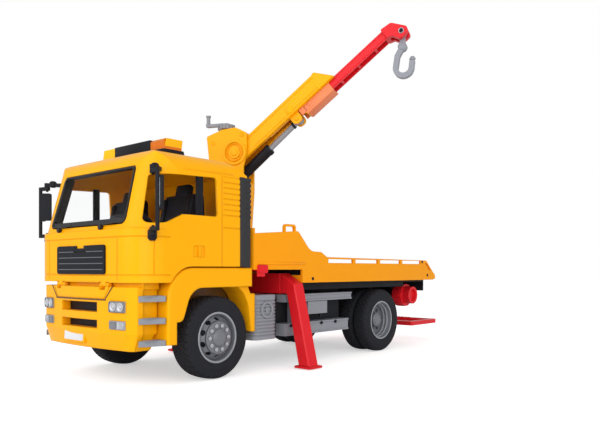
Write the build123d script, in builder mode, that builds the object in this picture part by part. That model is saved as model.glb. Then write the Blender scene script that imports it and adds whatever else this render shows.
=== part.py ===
from build123d import *
import os

os.makedirs("parts", exist_ok=True)

# Frame: +Z up, the truck's front faces -Y and its left side is +X.
# The floor is Z = 0 and Y = 0 lies midway between the two axles.

# Overall
wheelbase = 236
body_half = 76
running_gap = 0.05
slide_gap = 0.3
seam_width = 0.8
seam_depth = 0.45

# Wheels
tyre_dia = 67
rim_dia = 41
tyre_inset = 4.4
front_tyre_width = 20
rear_tyre_width = 15.2
twin_gap = 2
tyre_shoulder = 3.5
tyre_sides = 72
axle_r = 2.5
front_axle_inset = 8
rear_axle_inset = 12

# Chassis
rail_x = 20
rail_width = 8
rail_bottom = 46
rail_top = 64
plate_top = 75.8
plate_thick = 2
plate_half = 66
skirt_depth = 6.8
skirt_thick = 2.4
end_plate_thick = 2.5

# Bumper
bumper_inset = 9.4
bumper_top = 75.2
bumper_fold = 40.6
bumper_bottom = 28
bumper_wall = 2.5
bumper_taper = 16
slot_half = 25.5
slots = ((43.7, 50), (56, 63.5))
lamps = ((44, 50.3), (56.6, 64.7))
lamp_width = 17

# Fenders and steps
arch_width = 26
fender_top = 89.5
fender_bottom = 32
step_depth = 4.2
step_levels = (31.9, 48.2, 64.5)

# Cab
nose = 79
cab_len = 104
cab_wall = 2
cab_corner = 24
cab_bottom = 78.3
arch_z = 90.4
floor_z = 92.5
cowl_z = 118
cab_top = 179.3
screen_setback = 2.5
screen_lean = 0.273
screen_reach = 33
roof_round = 18
bar_back = 56
tilt_inset = 2
tilt_z = 77
tilt_pin_x = 31.6
tilt_pin_r = 1.1
tilt_ear_r = 1.8
trim_depth = 7.6

# Mirrors
mirror_out = 0.5
mirror_back = 12
mirror_low = 114
mirror_high = 162
mirror_pin_r = 1
mirror_eye_r = 2.4
mirror_reach = 8

# Bed
bed_overhang = 1
bed_gap = 9.6
bed_bottom = 76
bed_wall = 2.5
deck_z = 83
deck_thick = 2
box_len = 70.4
box_top = 110
box_floor = 88
tail_overhang = 103
window_pitch = 44.4
window_len = 40.4

# Outriggers
beam_back = 64.5
beam_inset = 13.5
beam_depth = 14
beam_low = 66.3
beam_high = 84.5
beam_wall = 2
leg_reach = 21

# Rear winch and towing frame
winch_back = 74
winch_z = 58
winch_r = 3
knob_r = 13
tow_back = 88
tow_z = 44
tow_pin_r = 1.5
tow_half = 59
tow_len = 60
tow_bar = 6

# Crane, at rest turned to the left side and raised
crane_back = 58
slew_deg = 68
luff_deg = 38.7
pivot_u = 8.1
pivot_z = 199.3
pivot_r = 3
boss_r = 12
turret_half = 14
turret_disc_r = 16.5
king_pin_r = 5
boom_half = 11
boom_top = 5.1
boom_bottom = -10.2
boom_root = -8
boom_end = 104
boom_tip = 115.5
boom_wall = 1.6
cheek_gap = 0.6
channel_half = 7.6
channel_bottom = -18.8
channel_start = 71
channel_end = 108.5
inner_half = 6
inner_top = -8.9
inner_bottom = -17.3
inner_start = 95
inner_end = 178
inner_wall = 1.4
pin_r = 1.6
eye_s = 65
eye_t = -15
eye_r = 3.6
eye_half = 4
eye_gap = 0.4
ear_half = 7
foot_u = 12
foot_z = 180
barrel_r = 5
barrel_len = 36
rod_r = 2.6
rod_start = 23
head_half = 8
head_s = 184.5
head_t = -21.5
hook_pin_r = 1.5
hook_half = 2.6
crank_u = -7
crank_z = 221.7
crank_r = 2

# Places worked out from the sizes above
axle_z = tyre_dia / 2
front_y = -wheelbase / 2
rear_y = wheelbase / 2
tyre_out = body_half - tyre_inset
cab_front = front_y - nose
cab_back = cab_front + cab_len
bed_half = body_half + bed_overhang
box_front = cab_back + bed_gap
box_back = box_front + box_len
tail_y = rear_y + tail_overhang
beam_y = cab_back + beam_back
beam_half = body_half - beam_inset
crane_y = cab_back + crane_back
winch_y = rear_y + winch_back
tow_y = rear_y + tow_back
bumper_half = body_half - bumper_inset
arch_x = body_half - arch_width
mirror_x = body_half + mirror_out
mirror_y = cab_front + mirror_back
sides = (-1, 1)
along_x = (0, 90, 0)

# Side views look along -X and front views along +Y; both have Z as their second axis
side_at_axle = Plane(origin=(0, front_y, 0), x_dir=(0, 1, 0), z_dir=(1, 0, 0))
side_at_cab = Plane(origin=(0, cab_front, 0), x_dir=(0, 1, 0), z_dir=(1, 0, 0))
side_at_box = Plane(origin=(0, box_front, 0), x_dir=(0, 1, 0), z_dir=(1, 0, 0))
front_at_cab = Plane(origin=(0, cab_front, 0), x_dir=(1, 0, 0), z_dir=(0, -1, 0))
front_at_beam = Plane(origin=(0, beam_y, 0), x_dir=(1, 0, 0), z_dir=(0, -1, 0))
plan_at_cab = Plane(origin=(0, cab_front, 0))

# Planes of the crane: the first axis runs out along the boom, the second points up
crane_plane = Plane(Location((0, crane_y, 0)) * Rot(0, 0, 90 - slew_deg) * Rot(90, 0, 0))
crane_upright = crane_plane.location * Rot(-90, 0, 0)
boom_plane = Plane(crane_plane.location * Pos(pivot_u, pivot_z, 0) * Rot(0, 0, luff_deg))
boom_section = Plane(boom_plane.location * Pos(boom_root, 0, 0) * Rot(0, 90, 0))
boom_underside = Plane(boom_plane.location * Pos(0, boom_bottom, 0) * Rot(90, 0, 0))

# The cylinder's line runs from its foot in the turret to its eye under the boom
eye = Vector(eye_s, eye_t).rotate(Axis.Z, luff_deg) + Vector(pivot_u, pivot_z)
foot = Vector(foot_u, foot_z)
cylinder_len = (eye - foot).length
cylinder_deg = Vector(1, 0).get_signed_angle(eye - foot, Vector(0, 0, 1))
cylinder_plane = Plane(crane_plane.location * Pos(foot_u, foot_z, 0) * Rot(0, 0, cylinder_deg))


def outline(*corners):
    """The closed outline through these corners, each (a, b) or (a, b, radius of its fillet)."""
    with BuildSketch() as shape:
        with BuildLine():
            Polyline([corner[:2] for corner in corners], close=True)
        make_face()
        for corner in corners:
            if len(corner) == 3:
                fillet(shape.vertices().sort_by_distance(corner[:2])[0], corner[2])
    return shape.sketch


# Chassis: two rails with cross members and the spacers that carry the plate under the bed
rail_front = cab_front + 8
rail_back = tail_y - 5
rail_len = rail_back - end_plate_thick - rail_front
rail_mid = (rail_bottom + rail_top) / 2
plate_front = box_back - 7
plate_low = plate_top - plate_thick
with BuildPart() as chassis_frame:
    for x in (-rail_x, rail_x):
        with Locations((x, rail_front + rail_len / 2, rail_mid)):
            Box(rail_width, rail_len, rail_top - rail_bottom)
    for y in (rail_front + 6, box_front + 34, rear_y - 78, rear_y + 42):
        with Locations((0, y, rail_mid)):
            Box(2 * rail_x, 8, 12)
    for y in (plate_front + 10, rear_y - 68, rear_y + 42, rail_back - 11):
        with Locations((0, y, (rail_top + plate_low) / 2)):
            Box(2 * (rail_x + rail_width), 8, plate_low - rail_top)
    with Locations((0, rail_front - 1, rail_mid)):
        Box(2 * slot_half + 7, 2, 30)
    for x in (-rail_x, rail_x):
        with Locations((x, tow_y, (tow_z - 4 + rail_bottom) / 2)):
            Box(4, 12, rail_bottom - tow_z + 4)
    with Locations((0, tow_y, tow_z)):
        Cylinder(tow_pin_r, 2 * rail_x, rotation=along_x)
    with Locations((0, winch_y, winch_z)):
        Cylinder(winch_r + running_gap, 4 * rail_x, rotation=along_x, mode=Mode.SUBTRACT)
chassis_frame.part.label = "chassis_frame"
export_step(chassis_frame.part, "parts/chassis_frame.step")

with BuildPart() as deck_plate:
    with Locations((0, (plate_front + rail_back) / 2, plate_top - plate_thick / 2)):
        Box(2 * plate_half, rail_back - plate_front, plate_thick)
deck_plate.part.label = "deck_plate"
export_step(deck_plate.part, "parts/deck_plate.step")

# Under the plate hang a skirt along each side, as far as the rear wheels, and the end plate
with BuildPart() as plate_skirts:
    for x in (-plate_half + skirt_thick / 2, plate_half - skirt_thick / 2):
        with Locations((x, (plate_front + rail_back) / 2 - 23, (plate_top - skirt_depth + plate_low) / 2)):
            Box(skirt_thick, rail_back - plate_front - 46, skirt_depth - plate_thick)
    with Locations((0, rail_back - end_plate_thick / 2, (plate_top - 13 + plate_low) / 2)):
        Box(2 * plate_half, end_plate_thick, 13 - plate_thick)
plate_skirts.part.label = "plate_skirts"
export_step(plate_skirts.part, "parts/plate_skirts.step")

# Each axle is a square beam with round ends, hung under the rails
for name, y, inset, hub_depth in (("front_axle", front_y, front_axle_inset, 30),
                                  ("rear_axle", rear_y, rear_axle_inset, 40)):
    with BuildPart() as axle:
        with Locations((0, y, axle_z)):
            Cylinder(axle_r, 2 * (body_half - inset), rotation=along_x)
            Box(2 * (body_half - hub_depth), 9, 9)
        for x in (-rail_x, rail_x):
            with Locations((x, y, (rail_bottom + axle_z) / 2)):
                Box(rail_width, 16, rail_bottom - axle_z)
    axle.part.label = name
    export_step(axle.part, "parts/" + name + ".step")

with BuildPart() as engine_block:
    with Locations((0, front_y - 18, rail_top + 4)):
        Box(2 * rail_x - rail_width, 46, 32)
engine_block.part.label = "engine_block"
export_step(engine_block.part, "parts/engine_block.step")


# Bumper: one plan outline for its walls, its lamps and its tapered valance
wing_half = bumper_half - 2.6
corner_half = bumper_half - 8.6
with BuildSketch() as bumper_plan:
    with BuildLine():
        ThreePointArc((-corner_half, 1.5), (0, -2.5), (corner_half, 1.5))
        Polyline((corner_half, 1.5), (bumper_half, 6), (bumper_half, 11), (wing_half, 11),
                 (wing_half, 25), (-wing_half, 25), (-wing_half, 11), (-bumper_half, 11),
                 (-bumper_half, 6), (-corner_half, 1.5))
    make_face()

with BuildPart() as head_lamps:
    for low, high in lamps:
        with BuildSketch(plan_at_cab.offset(low)):
            offset(bumper_plan.sketch, amount=0.7)
            offset(bumper_plan.sketch, amount=-1.4, mode=Mode.SUBTRACT)
        extrude(amount=high - low)
    with BuildSketch(plan_at_cab):
        for side in sides:
            with Locations((side * (corner_half - lamp_width / 2), 0)):
                Rectangle(lamp_width, 12)
    extrude(amount=bumper_top, mode=Mode.INTERSECT)
head_lamps.part.label = "head_lamps"
export_step(head_lamps.part, "parts/head_lamps.step")

# The seam around the bumper's front flap, as a strip of its skin
with BuildPart() as flap_seam:
    with BuildSketch(plan_at_cab.offset(bumper_fold)):
        add(bumper_plan.sketch)
        offset(bumper_plan.sketch, amount=-seam_depth, mode=Mode.SUBTRACT)
    extrude(amount=bumper_top - bumper_fold)
    with BuildSketch(front_at_cab):
        flap = outline((-43, bumper_top + 3), (-34, 66, 2), (34, 66, 2), (43, bumper_top + 3))
        add(flap)
        offset(flap, amount=-seam_width, mode=Mode.SUBTRACT)
    extrude(amount=10, both=True, mode=Mode.INTERSECT)

with BuildPart() as bumper:
    with BuildSketch(plan_at_cab.offset(bumper_fold)):
        add(bumper_plan.sketch)
    extrude(amount=bumper_top - bumper_fold)
    with BuildSketch(plan_at_cab.offset(bumper_fold)):
        add(bumper_plan.sketch)
    extrude(amount=bumper_bottom - bumper_fold, taper=bumper_taper)
    with BuildSketch(plan_at_cab.offset(bumper_fold)):
        offset(bumper_plan.sketch, amount=-bumper_wall)
        with Locations((0, 19)):
            Rectangle(2 * (wing_half - bumper_wall), 24)
    extrude(amount=bumper_top - bumper_fold - bumper_wall, mode=Mode.SUBTRACT)
    with BuildSketch(plan_at_cab.offset(bumper_bottom)):
        offset(bumper_plan.sketch, amount=-7)
        with Locations((0, 19)):
            Rectangle(2 * (wing_half - 7), 24)
    extrude(amount=bumper_fold - bumper_bottom, mode=Mode.SUBTRACT)
    # each slot has a sleeve that runs back from the skin
    for low, high in slots:
        with Locations((0, cab_front + 2.2, (low + high) / 2)):
            Box(2 * slot_half + 3, 7, high - low + 3)
            Box(2 * slot_half, 14, high - low, mode=Mode.SUBTRACT)
    add(flap_seam.part, mode=Mode.SUBTRACT)
    add(head_lamps.part, mode=Mode.SUBTRACT)
    # pins of the cab's tilt hinge, each between two small ears
    for side in sides:
        with Locations((side * tilt_pin_x, cab_front + tilt_inset, tilt_z - 1.2)):
            Box(12, 2 * tilt_ear_r, 2.4)
        with Locations((side * tilt_pin_x, cab_front + tilt_inset, tilt_z)):
            Cylinder(tilt_ear_r, 12, rotation=along_x)
            Box(6.6, 8, 8, mode=Mode.SUBTRACT)
            Cylinder(tilt_pin_r, 12, rotation=along_x)
bumper.part.label = "bumper"
export_step(bumper.part, "parts/bumper.step")


# Front fenders: the arch with a rolled edge, its rear strip a little inboard, and three steps in front
with BuildPart() as front_fenders:
    with BuildSketch(side_at_axle.offset(arch_x)):
        add(outline((-53.4, fender_bottom), (-52.3, fender_top, 24), (33.5, fender_top), (33.5, 74),
                    (-30.5, 74, 15), (-39.5, 48.7, 5), (-45, 48.7), (-45, fender_bottom)))
    extrude(amount=arch_width)
    fillet(front_fenders.edges().filter_by(GeomType.CIRCLE).group_by(Axis.X)[-1].sort_by(Axis.Z)[-1], 2)
    with BuildSketch(side_at_axle.offset(arch_x)):
        add(outline((18, 80), (32, 80), (32, 75), (35.4, 68), (40.8, 67.6), (40.8, 35.6), (36.6, 35.6),
                    (33.4, 58.7, 20), (28, 68.5, 6), (21, 74)))
    extrude(amount=arch_width - 4)
    mirror(about=Plane.YZ)
front_fenders.part.label = "front_fenders"
export_step(front_fenders.part, "parts/front_fenders.step")

with BuildPart() as steps:
    with BuildSketch(*[plan_at_cab.offset(level) for level in step_levels]):
        add(outline((bumper_half + 0.1, 6.5), (bumper_half + 0.9, 6.5), (body_half - 1, 25.4, 1),
                    (wing_half + 0.1, 25.4), (wing_half + 0.1, 11.1), (bumper_half + 0.1, 11.1)))
    extrude(amount=step_depth)
    mirror(about=Plane.YZ)
steps.part.label = "steps"
export_step(steps.part, "parts/steps.step")


# Side equipment between the axles: a ribbed box, then a tank with rails and small boxes outside it
box_x = rail_x + 4.1
with BuildPart() as side_boxes:
    with BuildSketch(Plane.XY.offset(27)) as ribbed_plan:
        with Locations(((box_x + body_half - 6) / 2, cab_back + 32.5)):
            Rectangle(body_half - 6 - box_x, 29)
        fillet(ribbed_plan.vertices().group_by(Axis.X)[-1], 6)
    extrude(amount=39)
    with BuildSketch(*[Plane.XY.offset(30.2 + 3 * n) for n in range(11)]):
        add(ribbed_plan.sketch_local)
        offset(ribbed_plan.sketch_local, amount=-0.8, mode=Mode.SUBTRACT)
    extrude(amount=1.2, mode=Mode.SUBTRACT)
    mirror(about=Plane.YZ)
side_boxes.part.label = "side_boxes"
export_step(side_boxes.part, "parts/side_boxes.step")

tank_out = arch_x + 6
tank_front = cab_back + 50
tank_back = rear_y - 57
with BuildPart() as fuel_tanks:
    with Locations(((box_x + tank_out) / 2, (tank_front + tank_back) / 2, 43)):
        Box(tank_out - box_x, tank_back - tank_front, 34)
    fillet(fuel_tanks.edges().filter_by(Axis.Y).group_by(Axis.Z)[0], 9)
    mirror(about=Plane.YZ)
fuel_tanks.part.label = "fuel_tanks"
export_step(fuel_tanks.part, "parts/fuel_tanks.step")

with BuildPart() as side_rails:
    # each long rail is a channel: its depth, its ends along Y, its lower and upper edge
    for depth, y0, y1, low, high in ((11, tank_front + 10, tank_back + 8, 58.2, 65.2),
                                     (12, tank_front + 9, tank_back + 1, 27.5, 38.8)):
        with BuildSketch(Plane(origin=(tank_out, y1, 0), x_dir=(1, 0, 0), z_dir=(0, -1, 0))):
            add(outline((0, low), (depth, low), (depth, low + 1.6), (depth - 0.8, low + 1.6),
                        (depth - 0.8, high - 1.6), (depth, high - 1.6), (depth, high), (0, high)))
        extrude(amount=y1 - y0)
    # a box and a post behind them
    for depth, y0, y1, low, high in ((9.5, tank_front + 44, tank_front + 73, 45.6, 57.8),
                                     (8, tank_front + 25, tank_front + 37, 38.6, 58.4)):
        with Locations((tank_out + depth / 2, (y0 + y1) / 2, (low + high) / 2)):
            Box(depth, y1 - y0, high - low)
    mirror(about=Plane.YZ)
side_rails.part.label = "side_rails"
export_step(side_rails.part, "parts/side_rails.step")


# Outriggers: a hollow cross beam and a leg that slides out at each end
with BuildPart() as outrigger_beam:
    with Locations((0, beam_y, (beam_low + beam_high) / 2)):
        Box(2 * beam_half, beam_depth, beam_high - beam_low)
        Box(2 * beam_half, beam_depth - 2 * beam_wall, beam_high - beam_low - 2 * beam_wall,
            mode=Mode.SUBTRACT)
        Box(10, beam_depth, beam_high - beam_low)
    for x in (-rail_x, rail_x):
        with Locations((x, beam_y, (rail_top + beam_low) / 2)):
            Box(rail_width, beam_depth, beam_low - rail_top)
outrigger_beam.part.label = "outrigger_beam"
export_step(outrigger_beam.part, "parts/outrigger_beam.step")

leg_out = body_half + leg_reach
bar_in = rail_x + 10
for name, side in (("outrigger_leg_left", 1), ("outrigger_leg_right", -1)):
    with BuildPart() as leg:
        with BuildSketch(front_at_beam.offset(0.5 - beam_depth / 2)):
            add(outline((beam_half + slide_gap, beam_low), (beam_half + slide_gap, beam_high - 0.4),
                        (body_half + 3.2, 75.2, 3), (leg_out, 2.5), (leg_out - 12.8, 2.5),
                        (body_half - 5.8, beam_low, 3)))
        extrude(amount=beam_depth - 1)
        chamfer(leg.faces().group_by(Axis.Y)[0].edges() + leg.faces().group_by(Axis.Y)[-1].edges(), 0.9)
        with Locations(((bar_in + beam_half + 2) / 2, beam_y, (beam_low + beam_high) / 2)):
            Box(beam_half + 2 - bar_in, beam_depth - 2 * (beam_wall + slide_gap),
                beam_high - beam_low - 2 * (beam_wall + slide_gap))
        with Locations((leg_out - 6.5, beam_y, 1.8)):
            Box(18, 17, 2)
        if side < 0:
            mirror(about=Plane.YZ, mode=Mode.REPLACE)
    leg.part.label = name
    export_step(leg.part, "parts/" + name + ".step")


# Bed: deck, side boards with rail windows, and the box under the crane
step_y = box_back - 7.5
windows_mid = box_len + 30.5 + window_len / 2 + 1.5 * window_pitch
tail = tail_y - box_front
with BuildPart() as bed:
    with BuildSketch(side_at_box.offset(bed_half)):
        # the hoop on top of each side wall
        with Locations((46, 123)):
            RectangleRounded(15.5, 11, 3)
            RectangleRounded(11.5, 7, 1.5, mode=Mode.SUBTRACT)
        add(outline((0, box_floor), (0, 118.6), (57, 122.9, 5), (box_len + 4, 105, 14), (box_len + 19.4, 104.7, 3),
                    (box_len + 28.5, 100, 4), (tail - 17.4, 98.7, 2), (tail - 2, 85.5), (tail + 3, 82, 3),
                    (tail + 4.2, 77.4, 1), (tail - 5.5, bed_bottom), (box_len - 7.5, bed_bottom),
                    (box_len - 7.5, box_floor)))
        with Locations((windows_mid, 96.3)):
            with GridLocations(window_pitch, 0, 4, 1):
                Rectangle(window_len, 3.6, mode=Mode.SUBTRACT)
        add(outline((tail - 20, 95.6), (tail - 16, 95.6), (tail - 6.5, 87), (tail - 10.5, 87)), mode=Mode.SUBTRACT)
    extrude(amount=-bed_wall)
    mirror(about=Plane.YZ)
    # panels between the side walls, by their ends along Y and Z
    for y0, y1, z0, z1 in ((step_y, tail_y, deck_z - deck_thick, deck_z),
                           (tail_y - 2, tail_y, bed_bottom, deck_z),
                           (box_front, box_front + 2, box_floor, 123),
                           (box_front, box_back, box_top - 2.5, box_top),
                           (box_back - 2, box_back, deck_z - deck_thick, box_top),
                           (step_y, step_y + 2, bed_bottom, deck_z)):
        with Locations((0, (y0 + y1) / 2, (z0 + z1) / 2)):
            Box(2 * bed_half - 1, y1 - y0, z1 - z0)
    for x in (-30, 30):
        with Locations((x, (step_y + tail_y) / 2, (bed_bottom + deck_z) / 2 - 1)):
            Box(3, tail_y - step_y, deck_z - bed_bottom - 2)
    with Locations((0, crane_y, box_top)):
        Cylinder(king_pin_r + running_gap, 30, mode=Mode.SUBTRACT)
bed.part.label = "bed"
export_step(bed.part, "parts/bed.step")

with BuildPart() as bed_catches:
    with BuildSketch(side_at_box.offset(bed_half)):
        with Locations((9.4, 88.5)):
            RectangleRounded(11, 7, 1.5)
    extrude(amount=2.4)
    mirror(about=Plane.YZ)
bed_catches.part.label = "bed_catches"
export_step(bed_catches.part, "parts/bed_catches.step")


# Rear winch shaft with a stepped knob at each end, and the towing frame on its hinge pin
knob_x = body_half - 10
with BuildPart() as winch_shaft:
    with BuildSketch(Plane(origin=(0, winch_y, winch_z), x_dir=(1, 0, 0), z_dir=(0, -1, 0))):
        add(outline((0, 0), (knob_x - 3, 0), (knob_x - 3, knob_r - 6), (knob_x, knob_r - 6), (knob_x, knob_r - 3),
                    (knob_x - 9, knob_r - 3), (knob_x - 9, knob_r), (knob_x - 21, knob_r),
                    (knob_x - 21, knob_r / 2), (rail_x + 8, knob_r / 2), (rail_x + 8, winch_r), (0, winch_r)))
    revolve(axis=Axis((0, winch_y, winch_z), (1, 0, 0)))
    mirror(about=Plane.YZ)
winch_shaft.part.label = "winch_shaft"
export_step(winch_shaft.part, "parts/winch_shaft.step")

with BuildPart() as tow_frame:
    with BuildSketch(Plane.XY.offset(tow_z - 23)):
        with Locations((0, tow_y - 5 + tow_len / 2)):
            RectangleRounded(2 * tow_half, tow_len, 3)
            Rectangle(2 * tow_half - 2 * tow_bar, tow_len - 2 * tow_bar - 2, mode=Mode.SUBTRACT)
    extrude(amount=5)
    for x in (-12, 12):
        with BuildSketch(Plane(origin=(x - 2.5, tow_y, tow_z), x_dir=(0, 1, 0), z_dir=(1, 0, 0))):
            Circle(4.5)
            with Locations((0, -11)):
                Rectangle(7, 22)
        extrude(amount=5)
    with Locations((0, tow_y, tow_z)):
        Cylinder(tow_pin_r + running_gap, 2 * tow_half, rotation=along_x, mode=Mode.SUBTRACT)
tow_frame.part.label = "tow_frame"
export_step(tow_frame.part, "parts/tow_frame.step")


# Cab outlines: plan, side and front view, with the openings of its windows
roof_front = screen_setback + screen_lean * (cab_top - cowl_z)
cab_plan = outline((-body_half, 0, cab_corner), (body_half, 0, cab_corner), (body_half, 2 * cab_len),
                   (-body_half, 2 * cab_len))
cab_side = outline((0, cab_bottom), (0, cowl_z), (screen_setback, cowl_z), (roof_front, cab_top, 16),
                   (cab_len - 15, cab_top, 20), (cab_len + 3.5, 165.5), (cab_len + 3.5, 163.8), (cab_len, 163.8),
                   (cab_len, arch_z), (38, arch_z, 22), (28.5, cab_bottom))
cab_section = outline((-body_half, 60), (-body_half, cab_top - 2.2, roof_round), (0, cab_top + 0.2, 900),
                      (body_half, cab_top - 2.2, roof_round), (body_half, 60))
side_window = outline((17, 158.5, 3), (73, 160.5, 3), (74.7, 129.8, 3), (40, 129.8, 14), (24, 122.5, 14),
                      (9, 122, 3))
screen_opening = outline((-54.5, 121.6, 5), (-51.5, 166.3, 4), (51.5, 166.3, 4), (54.5, 121.6, 5))

# The cab's outer and inner form: an upright lower half and a leaning upper one, cut to both views
with BuildPart() as cab_outer:
    with BuildSketch(plan_at_cab.offset(cab_bottom - 2)):
        add(cab_plan)
    extrude(amount=cowl_z - cab_bottom + 2)
    with BuildSketch(plan_at_cab.offset(cowl_z)):
        add(cab_plan.moved(Location((0, screen_setback, 0))))
    extrude(amount=cab_top - cowl_z + 8, dir=(0, screen_lean, 1))
    with BuildSketch(side_at_cab):
        add(cab_side)
    extrude(amount=body_half, both=True, mode=Mode.INTERSECT)
    with BuildSketch(front_at_cab):
        add(cab_section)
    extrude(amount=-2 * cab_len, mode=Mode.INTERSECT)

with BuildPart() as cab_inner:
    with BuildSketch(plan_at_cab.offset(cab_bottom - 2)):
        offset(cab_plan, amount=-cab_wall)
    extrude(amount=cowl_z - cab_bottom + 2)
    with BuildSketch(plan_at_cab.offset(cowl_z)):
        offset(cab_plan.moved(Location((0, screen_setback, 0))), amount=-cab_wall)
    extrude(amount=cab_top - cowl_z + 8, dir=(0, screen_lean, 1))
    with BuildSketch(side_at_cab):
        offset(cab_side, amount=-cab_wall)
        # the floor, hollow below it in front of the wheel arch
        with Locations((cab_len / 2, floor_z / 2)):
            Rectangle(2 * cab_len, floor_z, mode=Mode.SUBTRACT)
        with Locations((14, arch_z - 6.5)):
            Rectangle(23, 13)
    extrude(amount=body_half, both=True, mode=Mode.INTERSECT)
    with BuildSketch(front_at_cab):
        offset(cab_section, amount=-cab_wall)
    extrude(amount=-2 * cab_len, mode=Mode.INTERSECT)

# The seams that run round the front corners, as strips of the cab's skin
with BuildPart() as corner_seams:
    with BuildSketch(plan_at_cab.offset(cab_bottom)):
        add(cab_plan)
        offset(cab_plan, amount=-seam_depth, mode=Mode.SUBTRACT)
    extrude(amount=cowl_z - cab_bottom)
    with BuildSketch(side_at_cab):
        with Locations((cab_corner / 2, 84), (cab_corner / 2, 112)):
            Rectangle(cab_corner + 8, seam_width)
        with Locations((cab_corner - 9, 98)):
            Rectangle(seam_width, 28)
    extrude(amount=body_half, both=True, mode=Mode.INTERSECT)

with BuildPart() as cab_shell:
    add(cab_outer.part)
    add(cab_inner.part, mode=Mode.SUBTRACT)
    add(corner_seams.part, mode=Mode.SUBTRACT)
    with BuildSketch(side_at_cab):
        add(side_window)
    extrude(amount=body_half + 1, both=True, mode=Mode.SUBTRACT)
    with BuildSketch(front_at_cab):
        add(screen_opening)
    extrude(amount=-screen_reach, mode=Mode.SUBTRACT)
    for side in sides:
        # louvres behind the door, the door's rear edge and the seam behind it
        with BuildSketch(side_at_cab.offset(side * body_half)):
            with Locations((cab_len - 12.5, 146.8)):
                with GridLocations(0, 4.4, 1, 8):
                    Rectangle(23, seam_width)
            with Locations((cab_len - 12.5, 121.4)):
                Rectangle(23, seam_width)
            with Locations((cab_len - 25, (arch_z + 163) / 2)):
                Rectangle(seam_width, 163 - arch_z)
        extrude(amount=-side * seam_depth, mode=Mode.SUBTRACT)
        # the corner vane beside the grille, and the door handle, a bar in a pocket
        with Locations((side * 49.5, cab_front, 96)):
            Box(seam_width, 2 * seam_depth, 31, mode=Mode.SUBTRACT)
        with Locations((side * body_half, cab_front + 55.5, 102)):
            Box(2, 11, 8.5, mode=Mode.SUBTRACT)
            Box(1.6, 2.2, 8.5)
    # eyes that turn on the bumper's tilt pins, in a pocket for the ears
    for side in sides:
        with Locations((side * tilt_pin_x, cab_front + tilt_inset, tilt_z)):
            Cylinder(tilt_ear_r + 0.8, 13, rotation=along_x, mode=Mode.SUBTRACT)
            Cylinder(2, 6, rotation=along_x)
        with Locations((side * tilt_pin_x, cab_front + tilt_inset, tilt_z + 1.4)):
            Box(6, 4, 2.8)
        with Locations((side * tilt_pin_x, cab_front + tilt_inset, tilt_z)):
            Cylinder(tilt_pin_r + running_gap, 8, rotation=along_x, mode=Mode.SUBTRACT)
cab_shell.part.label = "cab_shell"
export_step(cab_shell.part, "parts/cab_shell.step")

with BuildPart() as grille:
    with BuildSketch(front_at_cab):
        with Locations((0, 95.6)):
            RectangleRounded(69.4, 22.2, 2.2)
        with Locations((0, 106)):
            Trapezoid(30, 3, 110, mode=Mode.SUBTRACT)
    extrude(amount=1.4)
    with BuildSketch(front_at_cab.offset(1.4)):
        with Locations((0, 95)):
            with GridLocations(0, 4.6, 1, 4):
                Rectangle(66, 1.1)
    extrude(amount=-0.6, mode=Mode.SUBTRACT)
grille.part.label = "grille"
export_step(grille.part, "parts/grille.step")

# The windscreen is a slice of the cab's outer form, cut to the opening
with BuildPart() as windscreen:
    with BuildSketch(front_at_cab):
        add(screen_opening)
    extrude(amount=-screen_reach)
    add(cab_outer.part.moved(Location((0, 0.4, 0))), mode=Mode.INTERSECT)
    add(cab_outer.part.moved(Location((0, 1.6, 0))), mode=Mode.SUBTRACT)
windscreen.part.label = "windscreen"
export_step(windscreen.part, "parts/windscreen.step")

with BuildPart() as window_posts:
    with Locations((body_half - cab_wall - 1, cab_front + 58, 144.5)):
        Box(2, 6, 35)
    mirror(about=Plane.YZ)
    add(cab_shell.part, mode=Mode.SUBTRACT)
window_posts.part.label = "window_posts"
export_step(window_posts.part, "parts/window_posts.step")

# A gaiter closes the gap behind each rear corner, pleated beside the louvres
with BuildPart() as cab_trim:
    with BuildSketch(side_at_cab.offset(body_half - 10.5)):
        with Locations((cab_len + trim_depth / 2 - 0.3, 126.6)):
            Rectangle(trim_depth - 0.6, 73.6)
    extrude(amount=10)
    with BuildSketch(side_at_cab.offset(body_half - 10.5)):
        with Locations((cab_len + trim_depth / 2, 147)):
            with GridLocations(0, 4.4, 1, 8):
                Rectangle(trim_depth, 2.8)
    extrude(amount=10.4)
    mirror(about=Plane.YZ)
cab_trim.part.label = "cab_trim"
export_step(cab_trim.part, "parts/cab_trim.step")

# Dashboard with an instrument hood, and the steering wheel on its column
driver_x = body_half / 2
with BuildPart() as dashboard:
    with BuildSketch(side_at_cab):
        add(outline((3, floor_z), (3, 113), (8.2, 123.6, 1), (17, 124, 3), (24, 115, 3), (18, 104, 3),
                    (15, floor_z)))
    extrude(amount=body_half - 18, both=True)
    with BuildSketch(side_at_cab.offset(driver_x - 16)):
        add(outline((10, 122), (12.5, 130.5, 2), (20.5, 129.5, 2), (24, 120)))
    extrude(amount=32)
    with Locations(Location((driver_x, cab_front + 28, 124), (-50, 0, 0))):
        Cylinder(14.4, 2.4)
        Cylinder(11.8, 2.4, mode=Mode.SUBTRACT)
        Box(26, 3, 1.8)
        with Locations((0, 0, -8)):
            Cylinder(1.8, 16)
dashboard.part.label = "dashboard"
export_step(dashboard.part, "parts/dashboard.step")

with BuildPart() as seats:
    with BuildSketch(side_at_cab.offset(20)):
        add(outline((37, floor_z), (37, 105, 4), (57, 107, 4), (67, 149, 3), (77, 151, 4), (79, floor_z)))
    extrude(amount=36)
    mirror(about=Plane.YZ)
seats.part.label = "seats"
export_step(seats.part, "parts/seats.step")

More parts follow.
